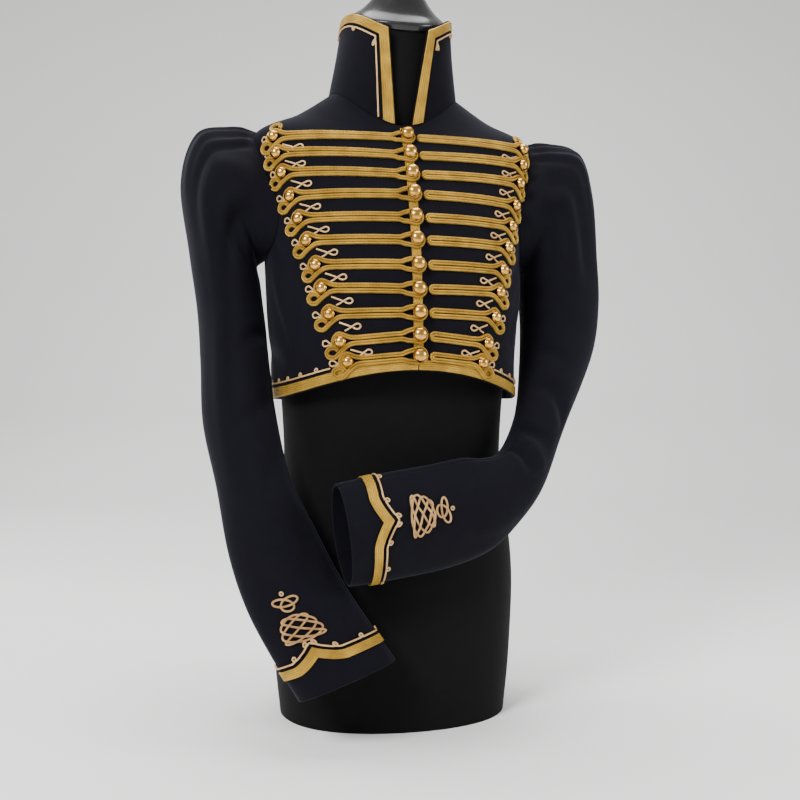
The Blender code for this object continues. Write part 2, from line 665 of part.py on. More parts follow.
def sleeve(side_name):
    """Top and under sleeve, joined along a front and a back seam."""
    surface = sleeve_at[side_name]
    last = len(SLEEVES[side_name]) - 1
    rows = np.concatenate((SLEEVE_HEAD_ROWS, np.arange(4.0, last + 0.5)))
    thickness = -CLOTH * SIDES[side_name]
    gathered = np.linspace(-GATHER_SPREAD, GATHER_SPREAD, 2 * GATHERS + 1)
    front = np.linspace(GATHER_SPREAD, FRONT_SEAM - SLEEVE_SEAM, SLEEVE_FRONT_COLUMNS + 1)[1:]
    pieces = (
        ("top", np.concatenate(((BACK_SEAM + SLEEVE_SEAM,), gathered, front))),
        ("under", np.linspace(FRONT_SEAM + SLEEVE_SEAM, 1 + BACK_SEAM - SLEEVE_SEAM, UNDER_COLUMNS + 1)),
    )
    for piece, turns in pieces:
        turn, row = np.meshgrid(turns, rows)
        outer = surface(turn, row)
        inner = raised(surface, turn, row, np.full(row.shape, thickness))
        inner[0] = armhole_ring(side_name, turns, ARMHOLE_INNER_MARGIN)
        wall(f"sleeve_{side_name}_{piece}", outer, inner, NAVY_WOOL)


def cuff_lengths(side_name):
    """Turns round the sleeve near the cuff and the length of cloth from the middle of its face to each."""
    turns = np.linspace(CUFF_FACE[side_name] - 0.5, CUFF_FACE[side_name] + 0.5, CUFF_TURNS + 1)
    loop = sleeve_at[side_name](turns, np.full(turns.shape, len(SLEEVES[side_name]) - 2.0))
    length = np.concatenate(((0.0,), np.cumsum(np.linalg.norm(np.diff(loop, axis=0), axis=-1))))
    return turns, length - length[CUFF_TURNS // 2]


def cuff_coordinates(side_name, across, up):
    """Sleeve coordinates of places near the cuff: across from the middle of its face, up from its edge."""
    last = len(SLEEVES[side_name]) - 1
    rows = np.linspace(last - CUFF_ROWS, last, CUFF_ROW_STEPS + 1)
    middle = smooth_rows(sleeve_rings(side_name, np.array(0.0))[1], rows)
    steps = np.linalg.norm(np.diff(middle, axis=0), axis=-1)
    from_edge = np.concatenate((np.cumsum(steps[::-1])[::-1], (0.0,)))
    row = np.interp(-np.asarray(up), -from_edge, rows)
    turns, length = cuff_lengths(side_name)
    return np.interp(across, length, turns), row


def cuff_lace(side_name):
    """Lace all round the sleeve near its end, rising to a point in the middle of its face."""
    near = CUFF_PEAK_REACH * np.array(CUFF_PEAK_SHARES)
    around = cuff_lengths(side_name)[1][::CUFF_TURNS // CUFF_LACE_STEPS][:-1]
    left, right = around[around < near[0] - 2 * MM], around[around > near[-1] + 2 * MM]
    across = np.concatenate((left, near, right))
    share = np.clip(1 - np.abs(across) / CUFF_PEAK_REACH, 0, 1)
    rise = CUFF_LACE_RISE + CUFF_PEAK_HEIGHT * share ** 1.5
    slope = 1.5 * CUFF_PEAK_HEIGHT / CUFF_PEAK_REACH * share ** 0.5
    half = LACE_WIDTH / 2 * np.sqrt(1 + slope ** 2)
    lines = [cuff_coordinates(side_name, across, rise + half * edge) for edge in (-1, 0, 1)]
    side = SIDES[side_name]
    low, high = side * SLEEVE_LIFT, side * (SLEEVE_LIFT + LACE_HEIGHT)
    sections = lace_sections(sleeve_at[side_name], lines, low, high)
    swept(f"cuff_lace_{side_name}", sections, GOLD_BRAID, closed=True)


def crossings(path):
    """Times, as shares of a closed flat path, at which it passes another part of itself."""
    times = []
    count = len(path)
    after = np.roll(path, -1, axis=0) - path
    for i in range(count):
        others = np.arange(i + 2, count if i else count - 1)
        gap = path[others] - path[i]
        det = after[i, 0] * after[others, 1] - after[i, 1] * after[others, 0]
        det = np.where(det == 0, 1e-12, det)
        here = (gap[:, 0] * after[others, 1] - gap[:, 1] * after[others, 0]) / det
        there = (gap[:, 0] * after[i, 1] - gap[:, 1] * after[i, 0]) / det
        hit = (here >= 0) & (here < 1) & (there >= 0) & (there < 1)
        times += list((i + here[hit]) / count) + list((others[hit] + there[hit]) / count)
    return np.sort(times)


def woven_path(curve):
    """Points of a closed curve and a height for each, over and under at one crossing after another."""
    fine = curve(np.linspace(0, 1, KNOT_SAMPLES, endpoint=False))
    times = crossings(fine)
    length = np.linalg.norm(fine - np.roll(fine, 1, axis=0), axis=-1).sum()
    moments, heights = [], []
    for k, (start, end) in enumerate(zip(times, np.append(times[1:], times[0] + 1))):
        pieces = max(1, round((end - start) * (1 - 2 * KNOT_RAMP) * length / KNOT_STEP))
        share = np.linspace(0, 1, pieces + 1)
        moments += list(start + (end - start) * (KNOT_RAMP + (1 - 2 * KNOT_RAMP) * share))
        heights += list((-1) ** k * (1 - 2 * share))
    return curve(np.array(moments) % 1), np.array(heights)


def woven_cord(name, side_name, curve):
    """Closed thin cord on a sleeve that passes over and under itself."""
    path, weave = woven_path(curve)
    turn, row = cuff_coordinates(side_name, path[:, 0], path[:, 1])
    surface = sleeve_at[side_name]
    side = SIDES[side_name]
    points = surface(turn, row)
    normal = outward(surface, turn, row) * side
    ahead = unit(np.roll(points, -1, axis=0) - np.roll(points, 1, axis=0))
    sideways = unit(np.cross(normal, ahead))
    low = KNOT_LIFT + KNOT_WEAVE * (1 + weave)[:, None]
    loop = ((-1, 0), (1, 0), (0.6, 1), (-0.6, 1))
    sections = [points + sideways * KNOT_CORD_HALF * s + normal * (low + KNOT_CORD_HEIGHT * h) for s, h in loop]
    swept(name, np.stack(sections, axis=1), GOLD_BRAID, closed=True)


def knots(side_name):
    """Interlaced lattice above the cuff lace, with a three-lobed knot beyond it."""
    along_turns, across_turns = KNOT_TURNS

    def lattice(share):
        t = 2 * math.pi * share
        across = KNOT_HALF_ACROSS * np.cos(across_turns * t + 0.5 * math.pi / along_turns)
        along = KNOT_CENTRE[side_name] + KNOT_HALF_ALONG * np.cos(along_turns * t)
        return np.stack((across, along), axis=-1)

    def trefoil(share):
        t = 2 * math.pi * share
        across = TREFOIL_ACROSS * (np.sin(t) + 2 * np.sin(2 * t))
        along = TREFOIL_CENTRE[side_name] + TREFOIL_ALONG * (np.cos(t) - 2 * np.cos(2 * t))
        return np.stack((across, along), axis=-1)

    woven_cord(f"knot_{side_name}", side_name, lattice)
    woven_cord(f"trefoil_{side_name}", side_name, trefoil)


form_body()
form_cap()
body_panels()
collar()
collar_lace()
hem_lace()
front_lace()
for side_name in SIDES:
    sleeve(side_name)
    cuff_lace(side_name)
    knots(side_name)
    for number, row in enumerate(FROG_ROWS, 1):
        frog(number, row, side_name)
for number, row in enumerate(FROG_ROWS, 1):
    button(number, row)
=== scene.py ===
# %% [markdown]
# # A braided jacket on a dress form
# A short, fitted wool jacket with a high open collar stands on a limbless dress form. Rows of gold cord
# cross its front from button to button, gold lace edges it, and each cuff carries a knotted ornament.
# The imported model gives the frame: every piece below lies where its solid lies, only finer.

# %% Load the frame and keep its box
import math
from collections import namedtuple

import bmesh
import bpy
import numpy as np
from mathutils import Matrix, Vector


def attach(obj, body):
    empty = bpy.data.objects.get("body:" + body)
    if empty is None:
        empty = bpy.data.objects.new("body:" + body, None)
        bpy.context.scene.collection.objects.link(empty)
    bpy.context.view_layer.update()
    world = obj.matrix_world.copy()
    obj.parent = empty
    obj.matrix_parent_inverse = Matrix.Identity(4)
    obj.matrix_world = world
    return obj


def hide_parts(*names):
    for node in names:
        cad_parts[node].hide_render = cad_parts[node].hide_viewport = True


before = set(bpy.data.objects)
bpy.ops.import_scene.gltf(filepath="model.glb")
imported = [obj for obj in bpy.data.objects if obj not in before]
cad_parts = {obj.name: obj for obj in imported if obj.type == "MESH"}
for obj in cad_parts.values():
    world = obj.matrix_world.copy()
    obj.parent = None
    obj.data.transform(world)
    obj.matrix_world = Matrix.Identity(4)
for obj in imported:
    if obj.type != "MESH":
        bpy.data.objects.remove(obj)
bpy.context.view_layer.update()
MM = 0.001

# %% [markdown]
# ## Camera, floor and light
# The camera is level, a little above the middle of the form and about a metre in front of it, slightly
# towards the wearer's right. A pale floor that curves up into a wall gives a seamless background.
# Dark wool shows its folds only in large soft lights, so there are three, the strongest from the upper left.

# %% Camera
CAMERA_TURN = math.radians(12)
CAMERA_DISTANCE = 1.15
CAMERA_HEIGHT = 0.35
SENSOR_WIDTH = 36
LENS = 45
SHIFT_X = 0.01
camera = bpy.data.objects.new("camera", bpy.data.cameras.new("camera"))
bpy.context.scene.collection.objects.link(camera)
camera.location = (-CAMERA_DISTANCE * math.sin(CAMERA_TURN), -CAMERA_DISTANCE * math.cos(CAMERA_TURN),
                   CAMERA_HEIGHT)
camera.rotation_euler = (math.pi / 2, 0, -CAMERA_TURN)
camera.data.sensor_width = SENSOR_WIDTH
camera.data.lens = LENS
camera.data.shift_x = SHIFT_X
bpy.context.scene.camera = camera
print("camera at", [round(v, 3) for v in camera.location])


# %% Floor and light
def node_material(name, colour, roughness, metallic=0.0):
    """New material and its Principled shader, with the plain values set."""
    material = bpy.data.materials.new(name)
    material.use_nodes = True
    shader = material.node_tree.nodes["Principled BSDF"]
    shader.inputs["Base Color"].default_value = (*colour, 1)
    shader.inputs["Roughness"].default_value = roughness
    shader.inputs["Metallic"].default_value = metallic
    return material, shader


BACKDROP = ((-3.0, 0.0), (1.0, 0.0), (1.6, 0.06), (2.1, 0.3), (2.4, 0.8), (2.5, 1.5), (2.5, 4.0))
BACKDROP_HALF = 5
floor_mesh = bpy.data.meshes.new("floor")
floor_points = [(x, y, z) for y, z in BACKDROP for x in (-BACKDROP_HALF, BACKDROP_HALF)]
floor_faces = [(2 * i, 2 * i + 1, 2 * i + 3, 2 * i + 2) for i in range(len(BACKDROP) - 1)]
floor_mesh.from_pydata(floor_points, [], floor_faces)
floor_mesh.shade_smooth()
floor = bpy.data.objects.new("floor", floor_mesh)
floor.rotation_euler = (0, 0, -CAMERA_TURN)
bpy.context.scene.collection.objects.link(floor)
floor.data.materials.append(node_material("pale_floor", (0.86, 0.86, 0.85), 0.9)[0])

Light = namedtuple("Light", "name place size power")
LIGHTS = (
    Light("key", (-1.3, -1.4, 1.5), 0.7, 56),
    Light("fill", (1.6, -0.9, 0.9), 0.9, 20),
    Light("top", (0.1, 0.2, 2.2), 1.5, 44),
    Light("rim", (-1.4, 1.0, 1.1), 1.0, 16),
)
LIT_POINT = Vector((0, 0, 0.42))
SKY_STRENGTH = 0.55
for light in LIGHTS:
    lamp = bpy.data.objects.new(light.name, bpy.data.lights.new(light.name, "AREA"))
    lamp.location = light.place
    lamp.rotation_euler = (LIT_POINT - lamp.location).to_track_quat("-Z", "Y").to_euler()
    lamp.data.shape = "DISK"
    lamp.data.size = light.size
    lamp.data.energy = light.power
    bpy.context.scene.collection.objects.link(lamp)
world = bpy.data.worlds.new("studio")
bpy.context.scene.world = world
world.use_nodes = True
sky = world.node_tree.nodes["Background"]
sky.inputs["Color"].default_value = (1, 1, 1, 1)
sky.inputs["Strength"].default_value = SKY_STRENGTH
print(len(LIGHTS), "lights")

# %% [markdown]
# ## Shared effects
# Three effects return on several finishes, so each is a node group: the fuzz of a napped or knitted cloth,
# the small slanting stitches of a plaited cord, and the slow unevenness that handling leaves.
# A group gives heights and masks, and the material decides what they do.


# %% Node helpers
def node_group(name, inputs, outputs):
    """Empty shader group with float or vector sockets, and its two end nodes."""
    group = bpy.data.node_groups.new(name, "ShaderNodeTree")
    for title, kind, value in inputs:
        socket = group.interface.new_socket(title, in_out="INPUT", socket_type=kind)
        if kind == "NodeSocketFloat":
            socket.default_value = value
    for title in outputs:
        group.interface.new_socket(title, in_out="OUTPUT", socket_type="NodeSocketFloat")
    return group, group.nodes.new("NodeGroupInput"), group.nodes.new("NodeGroupOutput")


def add(tree, kind, links=(), **settings):
    """New node with its settings, and links or values given as (input, source or number) pairs."""
    node = tree.nodes.new(kind)
    for key, value in settings.items():
        setattr(node, key, value)
    for key, source in links:
        if isinstance(source, bpy.types.NodeSocket):
            tree.links.new(source, node.inputs[key])
        else:
            node.inputs[key].default_value = source
    return node


def maths(tree, operation, *values):
    """Result of a Math node on sockets or numbers."""
    return add(tree, "ShaderNodeMath", list(enumerate(values)), operation=operation).outputs[0]


FLOAT, VECTOR = "NodeSocketFloat", "NodeSocketVector"

# %% Fuzz of a cloth
SLOW_SHARE = 0.06
nap, source, result = node_group("nap", (("Place", VECTOR, 0), ("Grain", FLOAT, 900.0)), ("Height", "Fleck"))
place, grain = source.outputs["Place"], source.outputs["Grain"]
fine = add(nap, "ShaderNodeTexNoise", (
    ("Vector", place), ("Scale", grain), ("Detail", 3.0), ("Roughness", 0.7)))
slow_scale = maths(nap, "MULTIPLY", grain, SLOW_SHARE)
slow = add(nap, "ShaderNodeTexNoise", (("Vector", place), ("Scale", slow_scale), ("Detail", 4.0)))
nap.links.new(fine.outputs[0], result.inputs["Height"])
nap.links.new(maths(nap, "ADD", maths(nap, "MULTIPLY", fine.outputs[0], 0.5),
                    maths(nap, "MULTIPLY", slow.outputs[0], 0.5)), result.inputs["Fleck"])

# %% Stitches of a plaited cord
plait, source, result = node_group(
    "plait", (("Place", VECTOR, 0), ("Pitch", FLOAT, 1.4), ("Ribs", FLOAT, 2.0), ("Lean", FLOAT, 0.5)),
    ("Height", "Gap"))
along, across, _ = add(plait, "ShaderNodeSeparateXYZ", (("Vector", source.outputs["Place"]),)).outputs
rib = maths(plait, "FRACT", maths(plait, "MULTIPLY", across, source.outputs["Ribs"]))
fold = maths(plait, "ABSOLUTE", maths(plait, "SUBTRACT", rib, 0.5))
steps = maths(plait, "DIVIDE", along, source.outputs["Pitch"])
leaning = maths(plait, "ADD", steps, maths(plait, "MULTIPLY", fold, source.outputs["Lean"]))
wave = maths(plait, "ABSOLUTE", maths(plait, "SINE", maths(plait, "MULTIPLY", leaning, math.pi)))
crown = maths(plait, "SUBTRACT", 1.0, maths(plait, "MULTIPLY", maths(plait, "POWER", fold, 2.0), 3.0))
plait.links.new(maths(plait, "MULTIPLY", maths(plait, "POWER", wave, 0.6), crown), result.inputs["Height"])
plait.links.new(maths(plait, "SUBTRACT", 1.0, maths(plait, "POWER", wave, 0.5)), result.inputs["Gap"])

# %% Slow unevenness
handling, source, result = node_group(
    "handling", (("Place", VECTOR, 0), ("Scale", FLOAT, 20.0), ("Low", FLOAT, 0.0), ("High", FLOAT, 1.0)),
    ("Value",))
cloud = add(handling, "ShaderNodeTexNoise", (
    ("Vector", source.outputs["Place"]), ("Scale", source.outputs["Scale"]), ("Detail", 5.0)))
spread = add(handling, "ShaderNodeMapRange", (
    ("Value", cloud.outputs[0]), ("From Min", 0.3), ("From Max", 0.7),
    ("To Min", source.outputs["Low"]), ("To Max", source.outputs["High"])))
handling.links.new(spread.outputs[0], result.inputs["Value"])
print("groups:", ", ".join(group.name for group in bpy.data.node_groups))

# %% [markdown]
# ## Finishes
# The cloth is a milled wool: almost black navy, matt, with a nap that catches light at a grazing angle.
# The form is black jersey, and its cap black lacquer. The cord and lace are plaited from yarn wrapped in
# gilt metal strip, so they are half metal and half thread. The thin pink-gold soutache is paler.
# The buttons are polished hollow brass domes.


# %% Material helpers
def place_in(tree, kind):
    """Object coordinates in metres, or the UV map, which holds millimetres along and a share across."""
    return add(tree, "ShaderNodeTexCoord").outputs[kind]


def effect(tree, group, **values):
    """A shared effect placed in a material."""
    node = add(tree, "ShaderNodeGroup", node_tree=group)
    for title, value in values.items():
        if isinstance(value, bpy.types.NodeSocket):
            tree.links.new(value, node.inputs[title])
        else:
            node.inputs[title].default_value = value
    return node.outputs


def tint(tree, shader, share, low, high):
    """Base colour between two colours by a mask."""
    mix = add(tree, "ShaderNodeMix", data_type="RGBA")
    mix.inputs[6].default_value = (*low, 1)
    mix.inputs[7].default_value = (*high, 1)
    tree.links.new(share, mix.inputs[0])
    tree.links.new(mix.outputs[2], shader.inputs["Base Color"])


def relief(tree, shader, height, distance):
    """Raised and sunk places of a finish, at most the given distance high."""
    bump = add(tree, "ShaderNodeBump", (("Height", height), ("Distance", distance), ("Strength", 1.0)))
    tree.links.new(bump.outputs[0], shader.inputs["Normal"])


def roughness_by(tree, shader, share, spread, least):
    """Roughness that grows with a mask, from the least value."""
    grown = maths(tree, "ADD", maths(tree, "MULTIPLY", share, spread), least)
    tree.links.new(grown, shader.inputs["Roughness"])


CLOTH_ROUGHNESS = 0.88
CLOTH_SPECULAR = 0.10
SHEEN_ROUGHNESS = 0.35
# Strength of the painted shade laid in the gaps between the stitches of a braid.
GAP_SHADE = 0.7


def cloth_material(name, low, high, grain, depth, sheen, sheen_tint):
    """Napped or knitted cloth."""
    material, shader = node_material(name, low, CLOTH_ROUGHNESS)
    tree = material.node_tree
    fuzz = effect(tree, nap, Place=place_in(tree, "Object"), Grain=grain)
    tint(tree, shader, fuzz["Fleck"], low, high)
    relief(tree, shader, fuzz["Height"], depth)
    shader.inputs["Sheen Weight"].default_value = sheen
    shader.inputs["Sheen Roughness"].default_value = SHEEN_ROUGHNESS
    shader.inputs["Sheen Tint"].default_value = (*sheen_tint, 1)
    shader.inputs["Specular IOR Level"].default_value = CLOTH_SPECULAR
    return material


def braid_material(name, low, high, metallic, ribs, pitch, lean, depth):
    """Plaited gilt yarn, darker and rougher between the stitches, where the darkening is painted shade, and
    where it has been handled.
    """
    material, shader = node_material(name, high, 0.42, metallic)
    tree = material.node_tree
    stitches = effect(tree, plait, Place=place_in(tree, "UV"), Pitch=pitch, Ribs=ribs, Lean=lean)
    age = effect(tree, handling, Place=place_in(tree, "Object"), Scale=60.0, Low=0.0, High=0.45)
    # Painted shade darkens the gaps between the stitches; the handling cloud adds real wear on top.
    gap_shade_and_wear = maths(tree, "ADD", maths(tree, "MULTIPLY", stitches["Gap"], GAP_SHADE), age["Value"])
    share = maths(tree, "MINIMUM", gap_shade_and_wear, 1.0)
    tint(tree, shader, share, high, low)
    roughness_by(tree, shader, share, 0.25, 0.34)
    relief(tree, shader, stitches["Height"], depth)
    return material


# %% The seven finishes
NAVY = cloth_material("milled_wool", (0.0010, 0.0010, 0.0026), (0.0046, 0.0044, 0.0078), 1100.0, 0.0003,
                      0.24, (0.22, 0.22, 0.30))
JERSEY = cloth_material("black_jersey", (0.0018, 0.0018, 0.0019), (0.0055, 0.0055, 0.0055), 1500.0, 0.0002,
                        0.12, (0.30, 0.30, 0.31))
LACE = braid_material("gilt_lace", (0.15, 0.068, 0.004), (0.66, 0.41, 0.055), 0.65, 5.0, 1.1, 1.0, 0.00045)
CORD = braid_material("gilt_cord", (0.16, 0.070, 0.005), (0.68, 0.43, 0.068), 0.65, 2.0, 1.5, 1.1, 0.0005)
SOUTACHE = braid_material("pale_soutache", (0.30, 0.14, 0.04), (0.78, 0.52, 0.24),
                          0.45, 2.0, 0.9, 1.0, 0.0002)


def lacquer_material():
    """Black lacquer with fine wipe marks in its gloss."""
    material, shader = node_material("black_lacquer", (0.012, 0.012, 0.012), 0.22)
    tree = material.node_tree
    marks = effect(tree, handling, Place=place_in(tree, "Object"), Scale=35.0, Low=0.16, High=0.34)
    tree.links.new(marks["Value"], shader.inputs["Roughness"])
    shader.inputs["Specular IOR Level"].default_value = 0.3
    shader.inputs["Coat Weight"].default_value = 0.2
    shader.inputs["Coat Roughness"].default_value = 0.12
    return material


def brass_material():
    """Polished brass, duller and browner in patches."""
    material, shader = node_material("polished_brass", (0.87, 0.62, 0.27), 0.16, 1.0)
    tree = material.node_tree
    tarnish = effect(tree, handling, Place=place_in(tree, "Object"), Scale=160.0, Low=0.0, High=1.0)
    tint(tree, shader, tarnish["Value"], (0.82, 0.50, 0.13), (0.44, 0.21, 0.035))
    roughness_by(tree, shader, tarnish["Value"], 0.16, 0.16)
    return material


LACQUER = lacquer_material()
BRASS = brass_material()

# %% [markdown]
# ## Rings and surfaces
# The form, the jacket and the collar are each a stack of rings, in millimetres. A smooth curve through
# every column of such a table gives a surface, and a place on it is an angle from the front and a row.
# The sleeves are rings too, given by the two ends of each ring's middle line.

# %% Form, jacket and collar tables
Ring = namedtuple("Ring", "name z_front z_side z_back half_width front back centre_y")
Point = namedtuple("Point", "x y z")
SleeveRing = namedtuple("SleeveRing", "name inner outer half_depth")
FORM_RINGS = (
    Ring("base", 0, 0, 0, 128, 100, 100, 0),
    Ring("low hip", 60, 60, 60, 134, 104, 108, 0),
    Ring("hip", 150, 150, 150, 138, 105, 112, 0),
    Ring("high hip", 220, 220, 220, 132, 100, 100, 0),
    Ring("waist", 275, 275, 275, 124, 94, 84, 0),
    Ring("ribs", 340, 340, 340, 126, 97, 84, 0),
    Ring("under bust", 395, 395, 395, 131, 105, 87, 0),
    Ring("bust", 445, 445, 445, 135, 118, 92, 0),
    Ring("chest", 500, 500, 500, 138, 112, 97, 0),
    Ring("armpit", 550, 550, 550, 142, 99, 100, 0),
    Ring("upper chest", 590, 594, 597, 150, 83, 96, 0),
    Ring("shoulder", 612, 642, 644, 147.5, 70, 84, 0),
    Ring("shoulder slope", 636, 666, 669, 104, 61, 71, 0),
    Ring("neck base", 648, 686, 698, 62, 52, 60, 0),
    Ring("neck", 700, 722, 738, 54, 58, 50, -9),
    Ring("neck top", 747, 768, 789, 51, 45, 45, -30),
)
JACKET_RINGS = (
    Ring("hem", 380, 352, 345, 138, 130, 94, 0),
    Ring("ribs", 414, 397, 392, 139, 130, 95, 0),
    Ring("bust", 457, 447, 442, 143, 127, 100, 0),
    Ring("chest", 507, 505, 503, 146, 120, 105, 0),
    Ring("armpit", 557, 555, 553, 150, 107, 108, 0),
    Ring("upper chest", 598, 602, 604, 159, 91, 104, 0),
    Ring("shoulder", 622, 645, 648, 158, 79, 92, 0),
    Ring("shoulder slope", 638, 668, 676, 112, 69, 79, 0),
    Ring("neck", 649, 693, 705, 73.5, 61, 68, 0),
)
COLLAR_RINGS = (
    Ring("collar base", 649.7, 693.7, 705.7, 73.5, 61, 68, 0),
    Ring("collar middle", 697, 735, 747, 66, 66, 68, -8),
    Ring("collar top", 742, 774, 786, 60.5, 71, 70, -17),
)
SQUARE = 0.018
EDGE_TURN = 2.8


# %% Surface helpers
def smooth_rows(table, rows):
    """Value of every column of a table at fractional row numbers, on a smooth curve through the rows."""
    ends = (2 * table[..., :1, :] - table[..., 1:2, :], 2 * table[..., -1:, :] - table[..., -2:-1, :])
    padded = np.concatenate((ends[0], table, ends[1]), axis=-2)
    rows = np.clip(rows, 0, table.shape[-2] - 1)
    low = np.minimum(rows.astype(int), table.shape[-2] - 2)
    part = (rows - low)[..., None]
    if table.ndim == 2:
        a, b, c, d = (padded[low + k] for k in range(4))
    else:
        shape = (*low.shape, 1, table.shape[-1])
        picks = [np.broadcast_to((low + k)[..., None, None], shape) for k in range(4)]
        a, b, c, d = (np.take_along_axis(padded, pick, axis=-2)[..., 0, :] for pick in picks)
    bend = 2 * a - 5 * b + 4 * c - d + part * (3 * (b - c) + d - a)
    return b + 0.5 * part * (c - a + part * bend)


def unit(vectors):
    """Vectors scaled to length 1."""
    return vectors / np.linalg.norm(vectors, axis=-1, keepdims=True)


def run_length(points):
    """Length from the first point of a line to each of its points."""
    return np.concatenate(((0.0,), np.cumsum(np.linalg.norm(np.diff(points, axis=0), axis=-1))))


def squared_angle(x, half):
    """Angle near the front at which a ring of the given half-width lies x to the side of the middle."""
    return np.arcsin(x / half * (1 - SQUARE) / (1 + 3 * SQUARE))


def ring_surface(rings, flat=False, lift=None):
    """Surface through a table of rings, with an optional lift of the cloth away from the axis."""
    table = np.array([ring[1:] for ring in rings], float) * MM

    def point(angle, row):
        angle, row = np.broadcast_arrays(np.asarray(angle, float), np.asarray(row, float))
        z_front, z_side, z_back, half, front, back, middle = np.moveaxis(smooth_rows(table, row), -1, 0)
        sine = (np.sin(angle) + SQUARE * np.sin(3 * angle)) / (1 - SQUARE)
        cosine = (np.cos(angle) - SQUARE * np.cos(3 * angle)) / (1 - SQUARE)
        ahead = cosine > 0
        y = middle - np.where(ahead, front, back) * cosine
        if flat:
            z = z_side + (z_front - z_back) / 2 * cosine + ((z_front + z_back) / 2 - z_side) * cosine ** 2
        else:
            z = z_side + (np.where(ahead, z_front, z_back) - z_side) * np.abs(np.cos(angle)) ** EDGE_TURN
        place = np.stack((half * sine, y, z), axis=-1)
        if lift is not None:
            away = unit(place * (1, 1, 0))
            place = place + away * lift(angle, row)[..., None]
        return place

    return point


def slopes(surface, a, b):
    """Change of a surface point for one unit of each of its two coordinates."""
    step = 1e-4
    along_a = surface(a + step, b) - surface(a - step, b)
    along_b = surface(a, b + step) - surface(a, b - step)
    return along_a / (2 * step), along_b / (2 * step)


def outward(surface, a, b, side=1):
    """Unit normal of a surface, reversed by side -1 for a surface whose coordinates turn the other way."""
    along_a, along_b = slopes(surface, a, b)
    return side * unit(np.cross(along_a, along_b))


# %% [markdown]
# ## Creases
# Wool this thick makes few and soft creases. Each is listed as a line between two places on the
# cloth, a width, and a depth, negative for a trough. It fades towards both ends and may bow sideways.

# %% Creases as soft troughs and ridges
Crease = namedtuple("Crease", "a0 b0 a1 b1 width lift bow")
CREASE_SCALE = 1.8


def crease_lift(creases, a, b, metres_a, metres_b, turn=None):
    """Sum of the creases at surface coordinates, whose units are worth the given lengths."""
    total = np.zeros(np.broadcast(a, b).shape)
    for crease in creases:
        da, db = (crease.a1 - crease.a0) * metres_a, (crease.b1 - crease.b0) * metres_b
        length = math.hypot(da, db)
        off_a = a - crease.a0
        if turn:
            off_a = (off_a + turn / 2) % turn - turn / 2
        pa, pb = off_a * metres_a, (b - crease.b0) * metres_b
        share = np.clip((pa * da + pb * db) / length ** 2, 0, 1)
        sideways = (pa * db - pb * da) / length + crease.bow * MM * 4 * share * (1 - share)
        fade = np.sin(math.pi * share) ** 0.8
        across = np.exp(-(sideways / (crease.width * MM)) ** 2)
        total = total + CREASE_SCALE * crease.lift * MM * fade * across
    return total


SIDE_SEAM = math.pi / 2
SEAM_DEPTH = 0.7 * MM
SEAM_WIDTH = 1.8 * MM
SEAM_RADIUS = 0.14
BODY_RADIUS = 0.13
BODY_STEP = 0.048
SLACK = 0.12 * MM
BODY_CREASES = (
    Crease(1.25, 3.3, 0.75, 2.2, 9, -1.6, 4),
    Crease(1.30, 2.9, 0.95, 1.2, 8, 1.2, -3),
    Crease(-1.25, 3.3, -0.80, 2.4, 9, -1.6, -4),
    Crease(-1.30, 2.8, -1.00, 1.1, 8, 1.2, 3),
    Crease(1.20, 0.7, 1.75, 1.1, 10, -1.3, 3),
    Crease(-1.15, 0.8, -1.80, 1.2, 10, -1.3, -3),
    Crease(2.10, 3.6, 2.65, 2.7, 11, -1.8, 5),
    Crease(-2.10, 3.6, -2.60, 2.9, 12, -1.5, -5),
    Crease(2.60, 1.9, 3.60, 1.7, 11, -1.4, 4),
    Crease(2.40, 1.1, 3.30, 0.9, 10, 1.1, -4),
    Crease(2.30, 5.2, 2.80, 4.5, 12, 1.5, 3),
    Crease(-2.30, 5.2, -2.75, 4.6, 12, 1.3, -3),
)


def body_lift(angle, row):
    """Creases, the dip of each side seam and a slight slackness of the cloth."""
    creases = crease_lift(BODY_CREASES, angle, row, BODY_RADIUS, BODY_STEP, turn=2 * math.pi)
    off_seam = (np.abs((angle + math.pi) % (2 * math.pi) - math.pi) - SIDE_SEAM) * SEAM_RADIUS
    dip = SEAM_DEPTH * np.exp(-(off_seam / SEAM_WIDTH) ** 2)
    slack = np.sin(3 * angle + 1.3 * row) + np.sin(5 * angle - 2.1 * row + 1)
    return creases - dip + SLACK * slack


form_at = ring_surface(FORM_RINGS, flat=True)
jacket_at = ring_surface(JACKET_RINGS, lift=body_lift)
collar_at = ring_surface(COLLAR_RINGS)
print(len(BODY_CREASES), "creases on the body")

# %% [markdown]
# ## Meshes from sections
# Almost every piece is a stack of cross-sections, each a closed loop of points. The UV map holds
# millimetres along the piece and a share across it, which is what the plaited finishes read.


# %% Sections to mesh
SHARP_FROM = math.radians(50)


def finish_piece(obj, material, nodes):
    """Every piece rides on the one body and replaces the solids it stands for."""
    obj.data.materials.append(material)
    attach(obj, "root")
    if nodes:
        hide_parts(*nodes)
    return obj


